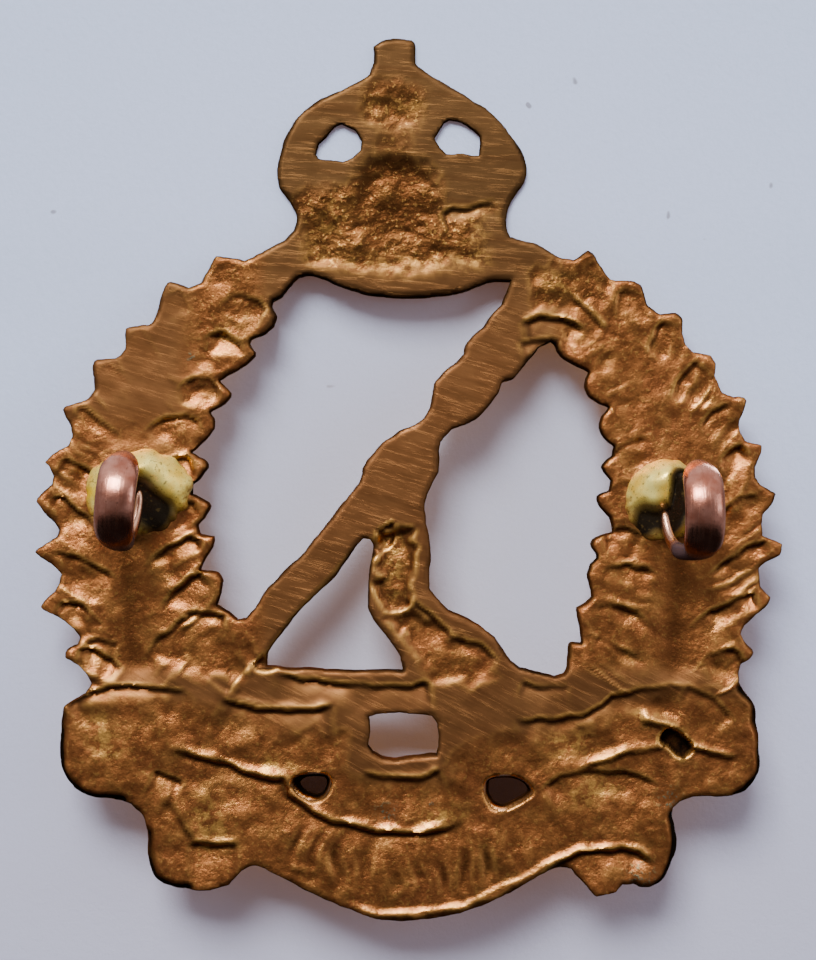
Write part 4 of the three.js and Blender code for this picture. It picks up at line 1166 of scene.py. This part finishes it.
def copper_material():
    m = Nodes(bpy.data.materials.new("drawn_copper"))
    place = m.place()
    turn = m.read("turn", "Vector")
    streak = m.noise(m.scaled(turn, (0.3, 7.0, 1.0)), 1.0, 4, 0.65)
    blotch = m.noise(place, 1.1, 4)
    speck = m.noise(place, 6.0, 2)
    # How many mm along the wire it is from the lug's crown, and the stretches at both ends of its band, where
    # shade is painted dark.
    below = m.math("SUBTRACT", m.axes(turn)["X"], math.pi * WIRE_MIDDLE)
    lower_end = m.times(m.remap(below, 2.3, 3.0, 0, 0.92), m.remap(below, 4.0, 4.5, 1, 0))
    painted_shade = m.plus(lower_end, m.remap(below, -3.5, -2.3, 0.95, 0))
    m.colour = m.mix(m.remap(blotch, 0.35, 0.65), rgb(208, 147, 128), rgb(168, 104, 84))
    m.paint(m.remap(streak, 0.56, 0.76, 0, 0.4), 112, 62, 48)
    m.paint(m.remap(speck, 0.66, 0.74, 0, 0.6), 70, 40, 34)
    # Painted shade: dark grey-purple over both ends of the band.
    m.paint(painted_shade, 58, 50, 58)
    # Painted highlight: the leg beyond the band's lower end lighter and pinker.
    m.paint(m.remap(below, 4.2, 4.8), 236, 180, 150)
    m.set("Base Color", m.colour)
    m.set("Specular Tint", m.mix(painted_shade, rgb(*WHITE), rgb(124, 114, 130)))
    m.set("Metallic", m.remap(painted_shade, 0, 1, 1.0, 0.25))
    m.set("Roughness", m.remap(streak, 0.3, 0.7, 0.17, 0.3))
    m.set("Normal", m.bump(m.plus(streak, m.times(speck, 0.6)), 0.5, 0.02))
    return m.owner


def braze_material():
    m = Nodes(bpy.data.materials.new("brazing_brass"))
    place = m.place()
    painted_shadow = m.read("painted_shadow")
    blotch = m.noise(place, 0.9, 4)
    grain = m.noise(place, 4.5, 4)
    m.colour = m.mix(m.remap(blotch, 0.35, 0.65), rgb(255, 238, 134), rgb(240, 198, 72))
    thin = m.plus(m.read("thin"), m.remap(grain, 0.3, 0.7, -0.12, 0.12))
    m.paint(m.remap(thin, 0.78, 1.0, 0, 0.9), 168, 118, 52)
    # Painted shadow of the lug on the braze: brown at its edge, nearly black inside.
    m.paint(m.remap(painted_shadow, 0.0, 0.5, 0, 0.8), 120, 84, 44)
    m.paint(m.remap(painted_shadow, 0.3, 0.9, 0, 0.97), 22, 15, 10)
    m.paint(m.remap(grain, 0.6, 0.66, 0, 0.7), 96, 78, 40)
    m.paint(m.read("fleck"), 250, 214, 20)
    m.set("Base Color", m.colour)
    m.set("Metallic", 0.5)
    m.set("Roughness", m.remap(grain, 0.3, 0.7, 0.24, 0.38))
    m.set("Normal", m.bump(m.plus(m.times(grain, 0.5), blotch), 0.5, 0.05))
    return m.owner


def paper_material():
    m = Nodes(bpy.data.materials.new("paper"))
    place = m.place()
    fibre = m.noise(place, 2.6, 6, 0.7)
    from_middle = m.away_from(place, (0, -2, -1))
    m.colour = m.mix(m.remap(fibre, 0.3, 0.7), rgb(188, 209, 250), rgb(193, 214, 255))
    # Painted shade on the paper: greyer towards the bottom and round the middle, near the badge.
    m.paint(m.remap(m.axes(place)["Z"], -22, 8, 0.9, 0), 177, 183, 212)
    m.paint(m.remap(from_middle, 6, 19, 0.85, 0), 182, 191, 217)
    # The plate keeps the light off the paper right behind the ribbon's two small holes.
    behind_left = m.remap(m.away_from(place, (5.5, -4.4, -16.2)), 2.0, 3.2, 1, 0)
    behind_right = m.remap(m.away_from(place, (-5.5, -4.4, -16.5)), 2.0, 3.2, 1, 0)
    shade = m.plus(behind_left, behind_right)
    m.paint(m.times(shade, 0.96), 90, 76, 88)
    # The brass throws a little warm light back on the paper round it.
    glow = m.remap(from_middle, 14, 40, 0.095, 0.02)
    m.set("Emission Color", (1.0, 0.35, 0.06, 1))
    m.set("Emission Strength", m.times(glow, m.math("SUBTRACT", 1.0, shade)))
    m.paint(m.remap(m.noise(place, 0.9, 1), 0.79, 0.82, 0, 0.6), 90, 88, 96)
    m.set("Base Color", m.colour)
    m.set("Roughness", 0.9)
    m.set("Normal", m.bump(fibre, 0.4, 0.08, m.add("CombineXYZ", Y=1.0).outputs[0]))
    # The sheet shows only from the side the badge lies on, so that the badge's face can be seen through it.
    both = m.add("MixShader")
    m.put(m.add("NewGeometry").outputs["Backfacing"], both.inputs[0])
    m.put(m.shader.outputs[0], both.inputs[1])
    m.put(m.add("BsdfTransparent").outputs[0], both.inputs[2])
    m.put(both.outputs[0], m.tree.nodes["Material Output"].inputs["Surface"])
    return m.owner


# ---------------------------------------------------------------- the pieces
def place_piece(piece, material, node):
    piece.data.materials.append(material)
    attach(piece, "root")
    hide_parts(node)


copper, brazing = copper_material(), braze_material()
place_piece(build_plate(), brass_material(), "badge_plate")
for side, place in LUGS.items():
    place_piece(build_lug(side, place), copper, f"lug_{side}")
    place_piece(build_braze(side, place), brazing, f"braze_{side}")


# ---------------------------------------------------------------- stage, light and camera
# The sheet the badge lies on, face down: near the back at the crown, whose small openings show it lit, and
# falling away gently to lie further off at the ribbons.
REACH = 1200
PAPER_TOP = 17  # where it starts to fall
PAPER_AT_CROWN = -0.42
PAPER_DROP = 4.2
PAPER_HALF_DROP_AT = 8.5  # this far below its top it has fallen half way
rows = np.concatenate([[-REACH, -200], np.linspace(-60, PAPER_TOP, 155), [REACH]])
sheet_v = np.repeat(rows, 2)
sheet_u = np.tile([-REACH, REACH], len(rows))
fall = (np.maximum(PAPER_TOP - sheet_v, 0) / PAPER_HALF_DROP_AT) ** 2
sheet_w = PAPER_AT_CROWN - PAPER_DROP * fall / (1 + fall)
strips = [(2 * k, 2 * k + 1, 2 * k + 3, 2 * k + 2) for k in range(len(rows) - 1)]
sheet = new_mesh("sheet", to_frame(sheet_u, sheet_v, sheet_w), strips)
sheet.shade_smooth()
paper = place_in_scene("paper", sheet)
paper.data.materials.append(paper_material())
paper.visible_diffuse = False
paper.visible_glossy = False
paper.visible_transmission = False
paper.visible_shadow = False


def turn_towards(thing, direction):
    thing.rotation_mode = "QUATERNION"
    thing.rotation_quaternion = Vector(direction).to_track_quat("-Z", "Y")


def light(name, at, size, watts, colour):
    """A soft lamp that looks at the middle of the badge."""
    data = bpy.data.lights.new(name, "AREA")
    data.shape = "RECTANGLE"
    data.size, data.size_y = size
    data.energy = watts
    data.color = colour
    lamp = place_in_scene(name, data)
    lamp.location = at
    turn_towards(lamp, -Vector(at))


light("window", (0.2, 0.76, 0.66), (0.5, 0.4), 16.5, (1.0, 0.945, 0.88))
light("side", (-0.42, 0.25, 0.10), (0.25, 0.25), 0.4, (0.92, 0.95, 1.0))
light("front", (-0.14, -0.42, 0.30), (0.35, 0.25), 3.4, (1.0, 0.98, 0.96))

# The room: bright above, dark below and dimmer where the onlooker stands; plain and pale where it is seen.
world = bpy.data.worlds.new("room")
bpy.context.scene.world = world
room = Nodes(world)
towards = room.axes(room.add("TexCoord").outputs["Generated"])
below = room.remap(towards["Z"], -0.66, -0.3, 0.02, 0.42, "SMOOTHSTEP")
above = room.remap(towards["Z"], 0.25, 0.85, 0.0, 0.8, "SMOOTHSTEP")
onlooker = room.remap(towards["Y"], 0.7, 0.98, 1.0, 0.62, "SMOOTHSTEP")
sky = room.tree.nodes["Background"]
room.put((0.91, 0.89, 0.93, 1), sky.inputs["Color"])
room.put(room.times(room.plus(below, above), onlooker), sky.inputs["Strength"])
backdrop = room.add("Background", Color=(0.62, 0.63, 0.68, 1))
choose = room.add("MixShader")
room.put(room.add("LightPath").outputs["Is Camera Ray"], choose.inputs[0])
room.put(sky.outputs[0], choose.inputs[1])
room.put(backdrop.outputs[0], choose.inputs[2])
room.put(choose.outputs[0], room.tree.nodes["World Output"].inputs["Surface"])

VIEW_DISTANCE = 0.110
VIEW_HEIGHT = 0.0522  # height of the picture at the plate
SENSOR = 36
camera_data = bpy.data.cameras.new("camera")
camera_data.sensor_width = SENSOR
camera_data.lens = SENSOR * VIEW_DISTANCE / VIEW_HEIGHT
camera_data.clip_start = 0.005
camera = place_in_scene("camera", camera_data)
camera.location = (0.00011, VIEW_DISTANCE, 0.00109)
turn_towards(camera, (0, -1, 0))
bpy.context.scene.camera = camera
